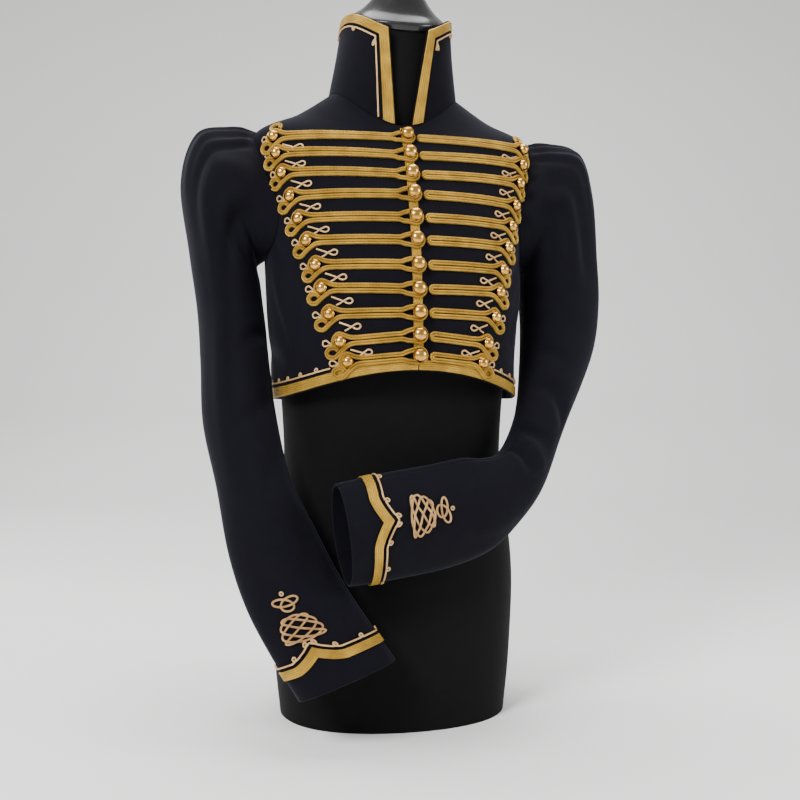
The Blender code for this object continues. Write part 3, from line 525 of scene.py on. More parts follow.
def loft(name, sections, material, nodes=(), closed=False, ends="fan", across=None):
    """Mesh through cross-sections. ends closes the two end loops with one face, or across a wall's edge."""
    count, sides = sections.shape[:2]
    spans = count if closed else count - 1
    i, j = np.meshgrid(np.arange(spans), np.arange(sides), indexing="ij")
    after, beside = (i + 1) % count, (j + 1) % sides
    quads = (i * sides + j, i * sides + beside, after * sides + beside, after * sides + j)
    quads = np.stack(quads, -1).reshape(-1, 4)
    along = np.linalg.norm(np.diff(sections.mean(1), axis=0, append=sections[:1].mean(1)), axis=-1)
    along = np.concatenate(((0.0,), np.cumsum(along))) / MM
    across = np.arange(sides + 1) / sides if across is None else np.append(across, across[0])
    corners = ((i, j), (i, j + 1), (i + 1, j + 1), (i + 1, j))
    uv = np.stack([np.stack((along[p], across[q]), -1) for p, q in corners], 2).reshape(-1, 4, 2)
    faces = [tuple(quad) for quad in quads.tolist()]
    uv = list(uv.reshape(-1, 2))
    if not closed:
        for p in (0, count - 1):
            start = p * sides
            if ends == "fan":
                caps = [tuple(range(start, start + sides))]
            else:
                end = start + sides - 1
                caps = [(start + k, start + k + 1, end - 1 - k, end - k) for k in range(sides // 2 - 1)]
            for cap in caps:
                faces.append(cap)
                uv += [np.array((along[p], 0.5))] * len(cap)
    mesh = bpy.data.meshes.new(name)
    mesh.from_pydata(sections.reshape(-1, 3).tolist(), [], faces)
    mesh.uv_layers.new(name="UVMap").uv.foreach_set("vector", np.array(uv, np.float32).ravel())
    work = bmesh.new()
    work.from_mesh(mesh)
    bmesh.ops.recalc_face_normals(work, faces=work.faces)
    work.to_mesh(mesh)
    work.free()
    mesh.shade_smooth()
    mesh.set_sharp_from_angle(angle=SHARP_FROM)
    obj = bpy.data.objects.new(name, mesh)
    bpy.context.scene.collection.objects.link(obj)
    return finish_piece(obj, material, nodes)


# %% [markdown]
# ## The dress form
# The form is a smooth padded torso in black jersey with no limbs. Its turned cap sits on the sloping neck.

# %% Torso and cap
FORM_SIDES = 160
FORM_ROWS = 190
angles = np.linspace(0, 2 * math.pi, FORM_SIDES, endpoint=False)
rows = np.linspace(0, len(FORM_RINGS) - 1, FORM_ROWS)
loft("form_skin", form_at(angles[None, :], rows[:, None]), JERSEY, ["form_body"])

CAP_PROFILE = (
    (50.0, 0.4), (51.6, 1.2), (52.0, 3.0), (52.0, 7.0), (51.0, 8.6), (48.0, 11.0), (41.0, 16.0), (34.0, 23.0),
    (27.0, 32.0), (20.0, 40.0), (18.5, 46.0), (22.0, 52.0), (24.0, 60.0), (22.0, 68.0), (15.0, 74.0),
    (5.0, 76.5), (0.4, 76.6))
CAP_LEAN = math.atan2(21, 45)
CAP_ROWS = 81
CAP_SIDES = 72


def turned(profile, centre, axis, sides):
    """Rings of points round an axis, from radii and heights."""
    axis = unit(np.asarray(axis, float))
    guide = np.array((1.0, 0.0, 0.0)) if abs(axis[0]) < 0.8 else np.array((0.0, 0.0, 1.0))
    side = unit(np.cross(axis, guide))
    other = np.cross(axis, side)
    turn = np.linspace(0, 2 * math.pi, sides, endpoint=False)[None, :, None]
    radius, height = (np.array(column, float)[:, None, None] for column in zip(*profile))
    return centre + radius * (np.cos(turn) * side + np.sin(turn) * other) + height * axis


neck_top = FORM_RINGS[-1]
cap_centre = np.array((0, neck_top.centre_y, neck_top.z_side)) * MM
profile = smooth_rows(np.array(CAP_PROFILE) * MM, np.linspace(0, len(CAP_PROFILE) - 1, CAP_ROWS))
cap_sections = turned(profile, cap_centre, (0, -math.sin(CAP_LEAN), math.cos(CAP_LEAN)), CAP_SIDES)
loft("form_cap_turned", cap_sections, LACQUER, ["form_cap"])
print("form and cap")

# %% [markdown]
# ## Body panels
# Two fronts and a back are cut from the jacket's surface. Each is a thin shell: the outer face, an inner
# face two millimetres behind it, and a rounded turned edge between them. The armholes are cut as smooth
# ovals, so a panel's side edge runs up the side seam, round the armhole and on to the neck.

# %% Shell helper
CLOTH = 2.0 * MM
EDGE_BULGE = 0.5 * MM
EDGE_ROUND = 0.7
SEAM_ALLOWANCE = 0.01


def shell(name, surface, a, b, side=1, inner_first=None, nodes=()):
    """Thin wall on a grid of surface coordinates, rows along its length, with rounded edges."""
    outer = surface(a, b)
    inner = outer - outward(surface, a, b, side) * CLOTH
    if inner_first is not None:
        inner[0] = inner_first
    middle = (outer + inner) / 2
    left = middle[:, 0] + unit(middle[:, 0] - middle[:, 1]) * EDGE_BULGE
    right = middle[:, -1] + unit(middle[:, -1] - middle[:, -2]) * EDGE_BULGE
    sections = np.concatenate((outer, right[:, None], inner[:, ::-1], left[:, None]), axis=1)
    both = np.concatenate((middle, right[:, None], middle[:, ::-1], left[:, None]), axis=1)
    ends = []
    for edge, beside in ((0, 1), (-1, -2)):
        turned_in = both[edge] * EDGE_ROUND + sections[edge] * (1 - EDGE_ROUND)
        ends.append((turned_in + unit(both[edge] - both[beside]) * EDGE_BULGE)[None])
    sections = np.concatenate((ends[0], sections, ends[1]))
    obj = loft(name, np.roll(sections, 1, axis=1), NAVY, nodes, ends="wall")
    width = np.linalg.norm(np.diff(outer, axis=1), axis=-1).sum(1).max()
    length = np.linalg.norm(np.diff(outer, axis=0), axis=-1).sum(0).max()
    along, across = outer[1:, :-1] - outer[:-1, :-1], outer[:-1, 1:] - outer[:-1, :-1]
    area = np.linalg.norm(np.cross(along, across), axis=-1).sum()
    return obj, (float(width) + 2 * SEAM_ALLOWANCE, float(length) + 2 * SEAM_ALLOWANCE), float(area)


# %% Armholes and panels
ARMHOLE_ROW = 4.55
ARMHOLE_HALF_ROWS = 1.5
ARMHOLE_HALF_ANGLE = math.radians(25)
ARMHOLE_EGG = 0.35
ARMHOLE_MARGIN_ROWS = 0.055
ARMHOLE_MARGIN_ANGLE = math.radians(1.3)
SEAM_ANGLE = 0.0022
CENTRE_ANGLE = 0.002
ROWS_BELOW = 46
ROWS_BESIDE = 61
ROWS_ABOVE = 32


def armhole(turn, margin=0.0):
    """Angle and ring number on the jacket for a turn round the armhole, 0 at the shoulder tip."""
    half_angle = ARMHOLE_HALF_ANGLE + margin * ARMHOLE_MARGIN_ANGLE
    row = ARMHOLE_ROW + (ARMHOLE_HALF_ROWS + margin * ARMHOLE_MARGIN_ROWS) * np.cos(turn)
    return math.pi / 2 - half_angle * np.sin(turn) * (1 - ARMHOLE_EGG * np.cos(turn)), row


hole_angles, hole_rows = armhole(np.linspace(math.pi, 0, ROWS_BESIDE))
below = np.linspace(0, hole_rows[0], ROWS_BELOW)[:-1]
above = np.linspace(hole_rows[-1], len(JACKET_RINGS) - 1, ROWS_ABOVE)[1:]
panel_rows = np.concatenate((below, hole_rows, above))
panel_cut = np.concatenate((np.zeros(len(below)), SIDE_SEAM - hole_angles, np.zeros(len(above))))
Panel = namedtuple("Panel", "name start end columns")
centre_edge = np.full(panel_cut.shape, CENTRE_ANGLE)
front_edge = SIDE_SEAM - SEAM_ANGLE - panel_cut
back_edge = SIDE_SEAM + SEAM_ANGLE + panel_cut
PANELS = (
    Panel("front_left", centre_edge, front_edge, 84),
    Panel("front_right", -centre_edge, -front_edge, 84),
    Panel("back", back_edge, 2 * math.pi - back_edge, 150),
)
cloths = {}
for panel in PANELS:
    share = np.linspace(0, 1, panel.columns + 1)[None, :]
    a = panel.start[:, None] + (panel.end - panel.start)[:, None] * share
    b = np.broadcast_to(panel_rows[:, None], a.shape)
    cloths[panel.name] = shell(f"{panel.name}_cloth", jacket_at, a, b, nodes=[panel.name])
    print(panel.name, "flat size", [round(v, 3) for v in cloths[panel.name][1]])

# %% [markdown]
# ## Collar
# A stiffened stand collar with a wide opening at the front, leaning in and forward with the neck.

# %% Collar
COLLAR_GAP_BASE = 9.0 * MM
COLLAR_GAP_TOP = 21.5 * MM
COLLAR_TALL = 98.0 * MM
COLLAR_RADIUS = 66.0 * MM
COLLAR_ROWS = 30
COLLAR_COLUMNS = 181


def collar_edge(rise):
    """Angle of the collar's front edge at a share of its height."""
    gap = COLLAR_GAP_BASE + (COLLAR_GAP_TOP - COLLAR_GAP_BASE) * rise
    table = np.array([[ring.half_width] for ring in COLLAR_RINGS]) * MM
    return squared_angle(gap, smooth_rows(table, 2 * np.asarray(rise, float))[..., 0])


rise = np.linspace(0, 1, COLLAR_ROWS)[:, None]
share = np.linspace(0, 1, COLLAR_COLUMNS)[None, :]
edge = collar_edge(rise)
a = edge + (2 * math.pi - 2 * edge) * share
cloths["collar"] = shell("collar_cloth", collar_at, a, np.broadcast_to(2 * rise, a.shape), nodes=["collar"])
print("collar flat size", [round(v, 3) for v in cloths["collar"][1]])

# %% [markdown]
# ## Sleeves
# Each sleeve is cut in two pieces. Its head is wider than the armhole, and the surplus is gathered over the
# shoulder, which gives the short puff and the radiating folds. Long soft folds run down the upper arm, and
# the cloth breaks into deeper creases inside the elbow.

# %% Sleeve tables
SLEEVE_LEFT = (
    SleeveRing("armhole", Point(148, 0, 503), Point(159, 0, 648), 50),
    SleeveRing("head rise", Point(154, 0, 499), Point(186, 0, 651), 53),
    SleeveRing("head crown", Point(154, 0, 492), Point(223, 0, 642), 57),
    SleeveRing("head fall", Point(153, -2, 478), Point(240, 0, 592), 53),
    SleeveRing("upper arm", Point(153, -8, 455), Point(245, -2, 520), 46),
    SleeveRing("above elbow", Point(151, -16, 430), Point(248, -6, 462), 40),
    SleeveRing("elbow top", Point(144, -34, 392), Point(238, -16, 410), 36),
    SleeveRing("elbow", Point(131, -62, 346), Point(211, -40, 362), 33),
    SleeveRing("elbow bend", Point(113, -90, 309), Point(172, -66, 306), 32),
    SleeveRing("crook", Point(93, -108, 293), Point(138, -96, 250), 31),
    SleeveRing("forearm top", Point(71, -119, 289), Point(110, -112, 219), 29),
    SleeveRing("forearm", Point(46, -128, 290), Point(78, -125, 194), 28),
    SleeveRing("lower forearm", Point(11, -135, 284), Point(33, -134, 179), 27),
    SleeveRing("wrist", Point(-33, -145, 278), Point(-28, -144, 170), 26),
    SleeveRing("cuff", Point(-89, -154, 268), Point(-76, -153, 166), 26),
)
SLEEVE_RIGHT = (
    SleeveRing("armhole", Point(-148, 0, 503), Point(-159, 0, 648), 50),
    SleeveRing("head rise", Point(-154, 0, 499), Point(-186, 0, 650), 53),
    SleeveRing("head crown", Point(-154, 0, 492), Point(-221, 0, 641), 56),
    SleeveRing("head fall", Point(-151, 0, 478), Point(-238, 0, 590), 51),
    SleeveRing("upper arm", Point(-148.5, -2, 455), Point(-229, -2, 515), 45),
    SleeveRing("above elbow", Point(-145.5, -8, 425), Point(-220, -8, 450), 42),
    SleeveRing("elbow", Point(-142.5, -28, 383), Point(-217, -26, 388), 40),
    SleeveRing("below elbow", Point(-136, -52, 323), Point(-215, -48, 325), 38),
    SleeveRing("forearm top", Point(-125, -80, 268), Point(-202, -74, 260), 35),
    SleeveRing("forearm", Point(-102, -108, 216), Point(-191, -102, 195), 31),
    SleeveRing("lower forearm", Point(-78, -124, 168), Point(-175, -120, 144), 28),
    SleeveRing("wrist", Point(-54, -134, 130), Point(-152, -134, 99), 26),
    SleeveRing("cuff", Point(-27, -143, 90), Point(-124, -143, 53), 26),
)
SLEEVES = {"left": SLEEVE_LEFT, "right": SLEEVE_RIGHT}
SIDES = {"left": 1, "right": -1}
BACK_SEAM = -0.18
FRONT_SEAM = 0.45
SLEEVE_SEAM = 0.0006
GATHERS = 7
GATHER_DEPTH = 3.0 * MM
GATHER_UNEVEN = 0.35
GATHER_SPREAD = 0.165
GATHER_END = 3.4
ARMHOLE_LIFT = 0.9 * MM
ARMHOLE_INNER_MARGIN = 0.15

# %% Sleeve creases
SLEEVE_CREASES = {
    "left": (
        Crease(0.30, 0.5, 0.24, 3.6, 7, -3.0, 3),
        Crease(0.20, 0.4, 0.17, 4.6, 8, -2.6, -3),
        Crease(0.255, 0.8, 0.215, 4.4, 7, 2.2, 2),
        Crease(0.12, 0.6, 0.10, 5.2, 9, 2.0, 3),
        Crease(0.36, 0.9, 0.31, 3.0, 8, -2.6, 4),
        Crease(0.90, 0.6, 0.86, 3.8, 9, -2.6, -4),
        Crease(0.80, 0.8, 0.82, 3.2, 9, 2.0, 3),
        Crease(0.44, 6.6, 0.16, 7.9, 7, -3.6, 5),
        Crease(0.50, 7.6, 0.22, 8.3, 6, -3.0, -4),
        Crease(0.46, 5.8, 0.25, 6.5, 7, -2.2, 4),
        Crease(0.47, 8.7, 0.26, 9.3, 6, -2.4, 4),
        Crease(0.42, 8.1, 0.20, 8.9, 6, 1.8, -3),
        Crease(0.10, 10.0, 0.18, 12.4, 10, -1.3, 5),
        Crease(0.40, 10.2, 0.33, 12.0, 9, -1.4, -4),
        Crease(0.56, 7.0, 0.78, 7.8, 8, -2.6, -4),
        Crease(0.60, 8.2, 0.80, 8.9, 8, -2.2, 4),
    ),
    "right": (
        Crease(0.315, 0.5, 0.225, 4.4, 7, -3.4, -4),
        Crease(0.22, 0.3, 0.165, 4.9, 8, 2.4, 3),
        Crease(0.27, 0.9, 0.255, 3.4, 6, 1.8, 2),
        Crease(0.13, 0.4, 0.12, 3.9, 8, -2.2, -3),
        Crease(0.37, 1.0, 0.32, 3.2, 8, -2.6, 4),
        Crease(0.165, 4.4, 0.15, 8.2, 9, 1.6, -4),
        Crease(0.23, 4.2, 0.24, 7.4, 10, -1.8, 4),
        Crease(0.90, 0.6, 0.87, 3.6, 9, -2.6, -4),
        Crease(0.80, 0.8, 0.83, 3.0, 9, 2.0, 3),
        Crease(0.46, 5.2, 0.24, 6.0, 8, -2.2, 4),
        Crease(0.48, 6.3, 0.22, 7.2, 8, -2.4, -5),
        Crease(0.45, 7.4, 0.27, 8.6, 8, -1.8, 4),
        Crease(0.40, 8.6, 0.30, 10.2, 9, -1.3, -4),
        Crease(0.60, 5.8, 0.80, 6.6, 9, -2.2, 4),
        Crease(0.62, 7.2, 0.84, 7.9, 9, -2.0, -4),
    ),
}
SLEEVE_GIRTH = 0.24
SLEEVE_STEP = 0.042
CREASE_START = 0.6


# %% Sleeve surface
def armhole_ring(side_name, turn, margin):
    """Places just off the jacket round its armhole, where the sleeve starts."""
    angle, row = armhole(2 * math.pi * turn, margin)
    places = jacket_at(angle, row) + outward(jacket_at, angle, row) * ARMHOLE_LIFT
    return places * (SIDES[side_name], 1, 1)


def sleeve_rings(side_name, turn):
    """Control rings of a sleeve at a turn round it, 0 on the outer side and a quarter on the front."""
    table = SLEEVES[side_name]
    inner = np.array([ring.inner for ring in table]) * MM
    outer = np.array([ring.outer for ring in table]) * MM
    depth = np.array([ring.half_depth for ring in table]) * MM
    centre, reach = (inner + outer) / 2, (outer - inner) / 2
    front = SIDES[side_name] * unit(np.cross(np.gradient(centre, axis=0), reach)) * depth[:, None]
    cosine = np.cos(2 * math.pi * turn)[..., None, None]
    sine = np.sin(2 * math.pi * turn)[..., None, None]
    rings = centre + cosine * reach + sine * front
    rings[..., 0, :] = armhole_ring(side_name, turn, margin=1)
    return rings, centre


def sleeve_surface(side_name):
    """Outer surface of a sleeve at a turn round it and a fractional ring number."""

    def point(turn, row):
        turn, row = np.broadcast_arrays(np.asarray(turn, float), np.asarray(row, float))
        rings, centre = sleeve_rings(side_name, turn)
        base = smooth_rows(rings, row)
        middle = smooth_rows(centre, row)
        around = (turn + 0.5) % 1 - 0.5
        window = np.clip(1 - (around / GATHER_SPREAD) ** 4, 0, 1)
        fade = np.clip(row / 0.5, 0, 1) * np.clip(1 - row / GATHER_END, 0, 1)
        wave = np.cos(math.pi * GATHERS * (around / GATHER_SPREAD + 1))
        uneven = 1 + GATHER_UNEVEN * np.sin(9 * around / GATHER_SPREAD + 1)
        lift = GATHER_DEPTH * uneven * wave * window * fade
        creases = crease_lift(SLEEVE_CREASES[side_name], turn, row, SLEEVE_GIRTH, SLEEVE_STEP, turn=1)
        for seam in (BACK_SEAM, FRONT_SEAM):
            off_seam = ((turn - seam + 0.5) % 1 - 0.5) * SLEEVE_GIRTH
            creases = creases - SEAM_DEPTH * np.exp(-(off_seam / SEAM_WIDTH) ** 2) * np.clip(row, 0, 1)
        lift = lift + creases * np.clip(row / CREASE_START, 0, 1)
        return base + unit(base - middle) * lift[..., None]

    return point


sleeve_at = {name: sleeve_surface(name) for name in SIDES}

# %% Sleeve pieces
HEAD_RINGS = 3
HEAD_ROWS = 41
ARM_ROWS = 130
Piece = namedtuple("Piece", "name start end columns")
SLEEVE_PIECES = (
    Piece("top", BACK_SEAM + SLEEVE_SEAM, FRONT_SEAM - SLEEVE_SEAM, 110),
    Piece("under", FRONT_SEAM + SLEEVE_SEAM, 1 + BACK_SEAM - SLEEVE_SEAM, 64),
)
for side_name, side in SIDES.items():
    last = len(SLEEVES[side_name]) - 1
    head = np.linspace(0, HEAD_RINGS, HEAD_ROWS)
    rows = np.concatenate((head, np.linspace(HEAD_RINGS, last, ARM_ROWS)[1:]))
    for piece in SLEEVE_PIECES:
        turns = np.linspace(piece.start, piece.end, piece.columns + 1)
        a, b = np.meshgrid(turns, rows)
        start = armhole_ring(side_name, turns, ARMHOLE_INNER_MARGIN)
        node = f"sleeve_{side_name}_{piece.name}"
        cloths[node] = shell(f"{node}_cloth", sleeve_at[side_name], a, b, side, start, nodes=[node])
        print(node, "flat size", [round(v, 3) for v in cloths[node][1]])

# %% [markdown]
# ## Lace
# Flat gilt lace, eleven millimetres wide with five fine ribs, is sewn just inside every edge. It is swept
# in surface coordinates: a function gives the line at any distance from the edge, and the ribs are the
# heights of the cross-section.

# %% Lace sections
LACE_WIDTH = 11.0 * MM
LACE_HEIGHT = 1.0 * MM
EDGE_INSET = 0.5 * MM
LIFT = 0.6 * MM
COLLAR_LIFT = 0.85 * MM
SLEEVE_LIFT = 0.9 * MM
LACE_RIBS = 5
RIB_GROOVE = 0.62
EDGE_SHARE = 0.02
EDGE_HEIGHT = 0.35
LACE_ACROSS = np.linspace(0, 1, 4 * LACE_RIBS + 1)
rib_wave = np.abs(np.sin(math.pi * LACE_RIBS * LACE_ACROSS))
lace_edges = np.clip(np.minimum(LACE_ACROSS, 1 - LACE_ACROSS) / EDGE_SHARE + EDGE_HEIGHT, 0, 1)
LACE_RELIEF = (RIB_GROOVE + (1 - RIB_GROOVE) * rib_wave ** 0.7) * lace_edges


def lace(name, surface, line, low, side=1, height=LACE_HEIGHT, closed=False, nodes=()):
    """Ribbed lace whose lines over the cloth are line(share of its width)."""
    lines = [line(share) for share in LACE_ACROSS]
    normals = [outward(surface, p, q, side) for p, q in lines]
    places = [surface(p, q) for p, q in lines]
    top = [place + normal * (low + height * rib) for place, normal, rib in zip(places, normals, LACE_RELIEF)]
    under = [places[k] + normals[k] * low for k in (-1, 0)]
    sections = np.stack((*top, *under), axis=1)
    across = np.concatenate((LACE_ACROSS, (1.0, 0.0)))
    return loft(name, sections, LACE, nodes, closed=closed, across=across)


# %% Lace on the collar, hem and front
COLLAR_LINE_RISE = 40
COLLAR_LINE_OVER = 150
HEM_STEPS = 300
HEM_ROW = 0.02
FRONT_LACE_ROWS = (0.36, 7.55)
FRONT_LACE_STEPS = 160
FRONT_LACE_WIDTH = 10.0 * MM
FRONT_LACE_HEIGHT = 0.8 * MM


def collar_line(distance):
    """Line up one front edge of the collar, round its top and down the other, at a distance from the edge."""
    top = 1 - distance / COLLAR_TALL
    rise = np.linspace(0.002, 1, COLLAR_LINE_RISE)[:-1] * top
    up = collar_edge(rise) + distance / COLLAR_RADIUS
    first = collar_edge(np.array(top)) + distance / COLLAR_RADIUS
    over = np.linspace(first, 2 * math.pi - first, COLLAR_LINE_OVER)
    angle = np.concatenate((up, over, (2 * math.pi - up)[::-1]))
    return angle, 2 * np.concatenate((rise, np.full(COLLAR_LINE_OVER, top), rise[::-1]))


def row_length(angle):
    """Length of cloth that one row is worth at the hem."""
    return np.linalg.norm(slopes(jacket_at, angle, np.full(angle.shape, HEM_ROW))[1], axis=-1)


def hem_line(distance):
    """Line round the hem at a distance above its edge."""
    angle = np.linspace(CENTRE_ANGLE * 2, 2 * math.pi - CENTRE_ANGLE * 2, HEM_STEPS)
    return angle, distance / row_length(angle)


def front_line(x):
    """Upright line on the front at a distance from the middle."""
    rows = np.linspace(*FRONT_LACE_ROWS, FRONT_LACE_STEPS)
    return squared_angle(x, jacket_at(np.full(rows.shape, SIDE_SEAM), rows)[:, 0]), rows


collar_lace = lace("collar_lace_braid", collar_at, lambda share: collar_line(EDGE_INSET + LACE_WIDTH * share),
                   COLLAR_LIFT, nodes=["collar_lace"])
hem_lace = lace("hem_lace_braid", jacket_at, lambda share: hem_line(EDGE_INSET + LACE_WIDTH * share), LIFT,
                nodes=["hem_lace"])
front_lace = lace("front_lace_braid", jacket_at, lambda share: front_line((share - 0.5) * FRONT_LACE_WIDTH),
                  LIFT, height=FRONT_LACE_HEIGHT, nodes=["front_lace"])
print("three laces, each with", LACE_RIBS, "ribs")

# %% Lace on the cuffs
CUFF_LACE_WIDTH = 9.6 * MM
CUFF_LACE_RISE = 28.0 * MM
CUFF_PEAK_HEIGHT = 12.0 * MM
CUFF_PEAK_REACH = 26.0 * MM
CUFF_FACE = {"left": 0.278, "right": 0.21}
CUFF_TURNS = 240
CUFF_RINGS = 4
CUFF_ROW_STEPS = 80
CUFF_LACE_STEPS = 220


def cuff_lengths(side_name):
    """Turns round the sleeve near the cuff and the length of cloth from the middle of its face to each."""
    turns = np.linspace(CUFF_FACE[side_name] - 0.5, CUFF_FACE[side_name] + 0.5, CUFF_TURNS + 1)
    length = run_length(sleeve_at[side_name](turns, np.full(turns.shape, len(SLEEVES[side_name]) - 2.0)))
    return turns, length - length[CUFF_TURNS // 2]


def cuff_coordinates(side_name, across, up):
    """Sleeve coordinates of places near the cuff: across from the middle of its face, up from its edge."""
    last = len(SLEEVES[side_name]) - 1
    rows = np.linspace(last - CUFF_RINGS, last, CUFF_ROW_STEPS + 1)
    middle = smooth_rows(sleeve_rings(side_name, np.array(0.0))[1], rows)
    steps = np.linalg.norm(np.diff(middle, axis=0), axis=-1)
    from_edge = np.concatenate((np.cumsum(steps[::-1])[::-1], (0.0,)))
    row = np.interp(-np.asarray(up), -from_edge, rows)
    turns, length = cuff_lengths(side_name)
    return np.interp(across, length, turns), row


def cuff_line(side_name, across, off):
    """Line round the cuff at a distance above the lace's middle, rising to a point on the face."""
    share = np.clip(1 - np.abs(across) / CUFF_PEAK_REACH, 0, 1)
    slope = 1.5 * CUFF_PEAK_HEIGHT / CUFF_PEAK_REACH * share ** 0.5
    rise = CUFF_LACE_RISE + CUFF_PEAK_HEIGHT * share ** 1.5 + off * np.sqrt(1 + slope ** 2)
    return cuff_coordinates(side_name, across, rise)


for side_name, side in SIDES.items():
    length = cuff_lengths(side_name)[1]
    around = np.linspace(length[0], length[-1], CUFF_LACE_STEPS, endpoint=False)
    lace(
        f"cuff_lace_{side_name}_braid", sleeve_at[side_name],
        lambda share: cuff_line(side_name, around, (share - 0.5) * CUFF_LACE_WIDTH), SLEEVE_LIFT, side,
        closed=True, nodes=[f"cuff_lace_{side_name}"])

# %% [markdown]
# ## Frogs
# A frog is one long double-ribbed cord. It starts round the side button, runs to the middle, loops round
# the centre button or turns back before it, returns just below itself, and ends in an open ring.
# Its line is drawn on the cloth by walking over the surface, so it keeps its width on the curve of the bust.

# %% Rows and walking over the cloth
FrogRow = namedtuple("FrogRow", "z_centre z_side half_span")
FROG_ROWS = (
    FrogRow(632, 632, 138.5),
    FrogRow(610, 614, 136),
    FrogRow(587.5, 591.5, 130.5),
    FrogRow(565, 565, 122.5),
    FrogRow(539.5, 540, 115),
    FrogRow(515, 515.5, 107.5),
    FrogRow(489, 489.5, 99.5),
    FrogRow(463.5, 465, 94),
    FrogRow(439.5, 438, 87),
    FrogRow(416.5, 409.5, 77),
    FrogRow(395.5, 389, 70),
)
WALK_STEPS = 5
SEARCH_STEPS = 30
SEARCH_HALF_WIDTH = 160 * MM
SEARCH_ANGLE_STEP = 0.1
SEARCH_ROW_STEP = 0.3


def find_front(x, z):
    """Angle and ring number of the jacket front at a place given by its width and height."""
    angle = np.arcsin(np.clip(x / SEARCH_HALF_WIDTH, -0.98, 0.98))
    heights = [ring.z_side * MM for ring in JACKET_RINGS]
    row = np.interp(z, heights, np.arange(len(JACKET_RINGS), dtype=float))
    for _ in range(SEARCH_STEPS):
        miss = jacket_at(angle, row) - np.stack((x, np.zeros_like(x), z), axis=-1)
        along_angle, along_row = slopes(jacket_at, angle, row)
        det = along_angle[..., 0] * along_row[..., 2] - along_angle[..., 2] * along_row[..., 0]
        det = np.where(np.abs(det) < 1e-6, 1e-6, det)
        angle_step = (miss[..., 0] * along_row[..., 2] - miss[..., 2] * along_row[..., 0]) / det
        row_step = (along_angle[..., 0] * miss[..., 2] - along_angle[..., 2] * miss[..., 0]) / det
        angle = angle - np.clip(angle_step, -SEARCH_ANGLE_STEP, SEARCH_ANGLE_STEP)
        row = row - np.clip(row_step, -SEARCH_ROW_STEP, SEARCH_ROW_STEP)
        row = np.clip(row, 0, len(JACKET_RINGS) - 1)
    return angle, row


def on_row(row, side, reach):
    """Jacket coordinates on the middle line of a frog row, millimetres out from the centre."""
    share = np.clip(reach / row.half_span, 0, 1)
    return find_front(side * reach * MM, (row.z_centre + (row.z_side - row.z_centre) * share) * MM)


def row_coordinates(row, side, along, up):
    """Jacket coordinates of places on a frog row: millimetres out from the centre and up from the row."""
    along, up = np.asarray(along, float), np.asarray(up, float)
    reach = np.minimum(along, row.half_span)
    angle, ring = on_row(row, side, reach)
    out = jacket_at(angle, ring) - jacket_at(*on_row(row, side, reach - 1))
    for _ in range(WALK_STEPS):
        along_angle, along_ring = slopes(jacket_at, angle, ring)
        normal = unit(np.cross(along_angle, along_ring))
        out = unit(out - normal * np.sum(normal * out, axis=-1, keepdims=True))
        move = out * (along - reach)[..., None] + side * np.cross(normal, out) * up[..., None]
        move = move * MM / WALK_STEPS
        aa, ab, bb = (np.sum(p * q, axis=-1) for p, q in (
            (along_angle, along_angle), (along_angle, along_ring), (along_ring, along_ring)))
        ma, mb = np.sum(move * along_angle, axis=-1), np.sum(move * along_ring, axis=-1)
        det = aa * bb - ab * ab
        angle = angle + (ma * bb - mb * ab) / det
        ring = ring + (mb * aa - ma * ab) / det
    return angle, ring


# %% Cord profiles and smooth paths
CORD_HALF = 2.6 * MM
CORD_HEIGHT = 2.3 * MM
CORD_STEP = 1.1
RIBBED = ((-1, 0), (-0.98, 0.40), (-0.84, 0.82), (-0.55, 1), (-0.24, 0.84), (0, 0.42), (0.24, 0.84),
          (0.55, 1), (0.84, 0.82), (0.98, 0.40), (1, 0))
ROUND = ((-0.8, 0), (-1, 0.4), (-0.75, 0.85), (0, 1), (0.75, 0.85), (1, 0.4), (0.8, 0))
PATH_STEPS = 24


def smooth_path(points, step):
    """Evenly spaced points on a smooth curve through control points, in millimetres."""
    points = np.array(points, float)
    fine = smooth_rows(points, np.linspace(0, len(points) - 1, PATH_STEPS * len(points)))
    length = run_length(fine)
    marks = np.linspace(0, length[-1], max(4, round(length[-1] / step)))
    return np.stack([np.interp(marks, length, fine[:, k]) for k in range(fine.shape[1])], axis=-1)


def cord_on(name, surface, a, b, low, half, height, profile, material, side=1, closed=False, nodes=()):
    """Cord that follows surface coordinates at a height above the cloth, which may vary along it."""
    points = surface(a, b)
    normal = outward(surface, a, b, side)
    points = points + normal * np.broadcast_to(low, a.shape)[:, None]
    if closed:
        ahead = unit(np.roll(points, -1, axis=0) - np.roll(points, 1, axis=0))
    else:
        ahead = unit(np.gradient(points, axis=0))
    sideways = unit(np.cross(normal, ahead))
    sections = np.stack([points + sideways * half * s + normal * height * h for s, h in profile], axis=1)
    across = np.array([(s + 1) / 2 for s, _ in profile])
    return loft(name, sections, material, nodes, closed=closed, across=across)


# %% Frog cords
STRAND_OFFSET = 2.9
LOOP_RADIUS = 7.2
LOOP_ANGLES = (60, 100, 140, 180, 220, 260, 300)
RING_RADII = (6.6, 5.2)
RING_CENTRE = (9.6, -10.6)
RING_TURNS = (238, 266, 294, 322, 350, 18, 46, 74, 102, 130, 158)
BUTTON_WRAP = 8.2
WRAP_TURNS = (-34, -5, 25, 55, 85)
FROG_LIFT = 1.2 * MM
CORD_SINK = 0.4 * MM
OVER_LACE = 1.4 * MM
FRONT_LACE_NEAR, FRONT_LACE_FAR = 7.5, 12.5
HEM_LACE_NEAR, HEM_LACE_FAR = 14 * MM, 17 * MM


def arc(centre, radii, degrees):
    """Points at the given angles on an ellipse with half-widths along and across the row."""
    turn = np.radians(degrees)
    return list(zip(centre[0] + radii[0] * np.cos(turn), centre[1] + radii[1] * np.sin(turn)))


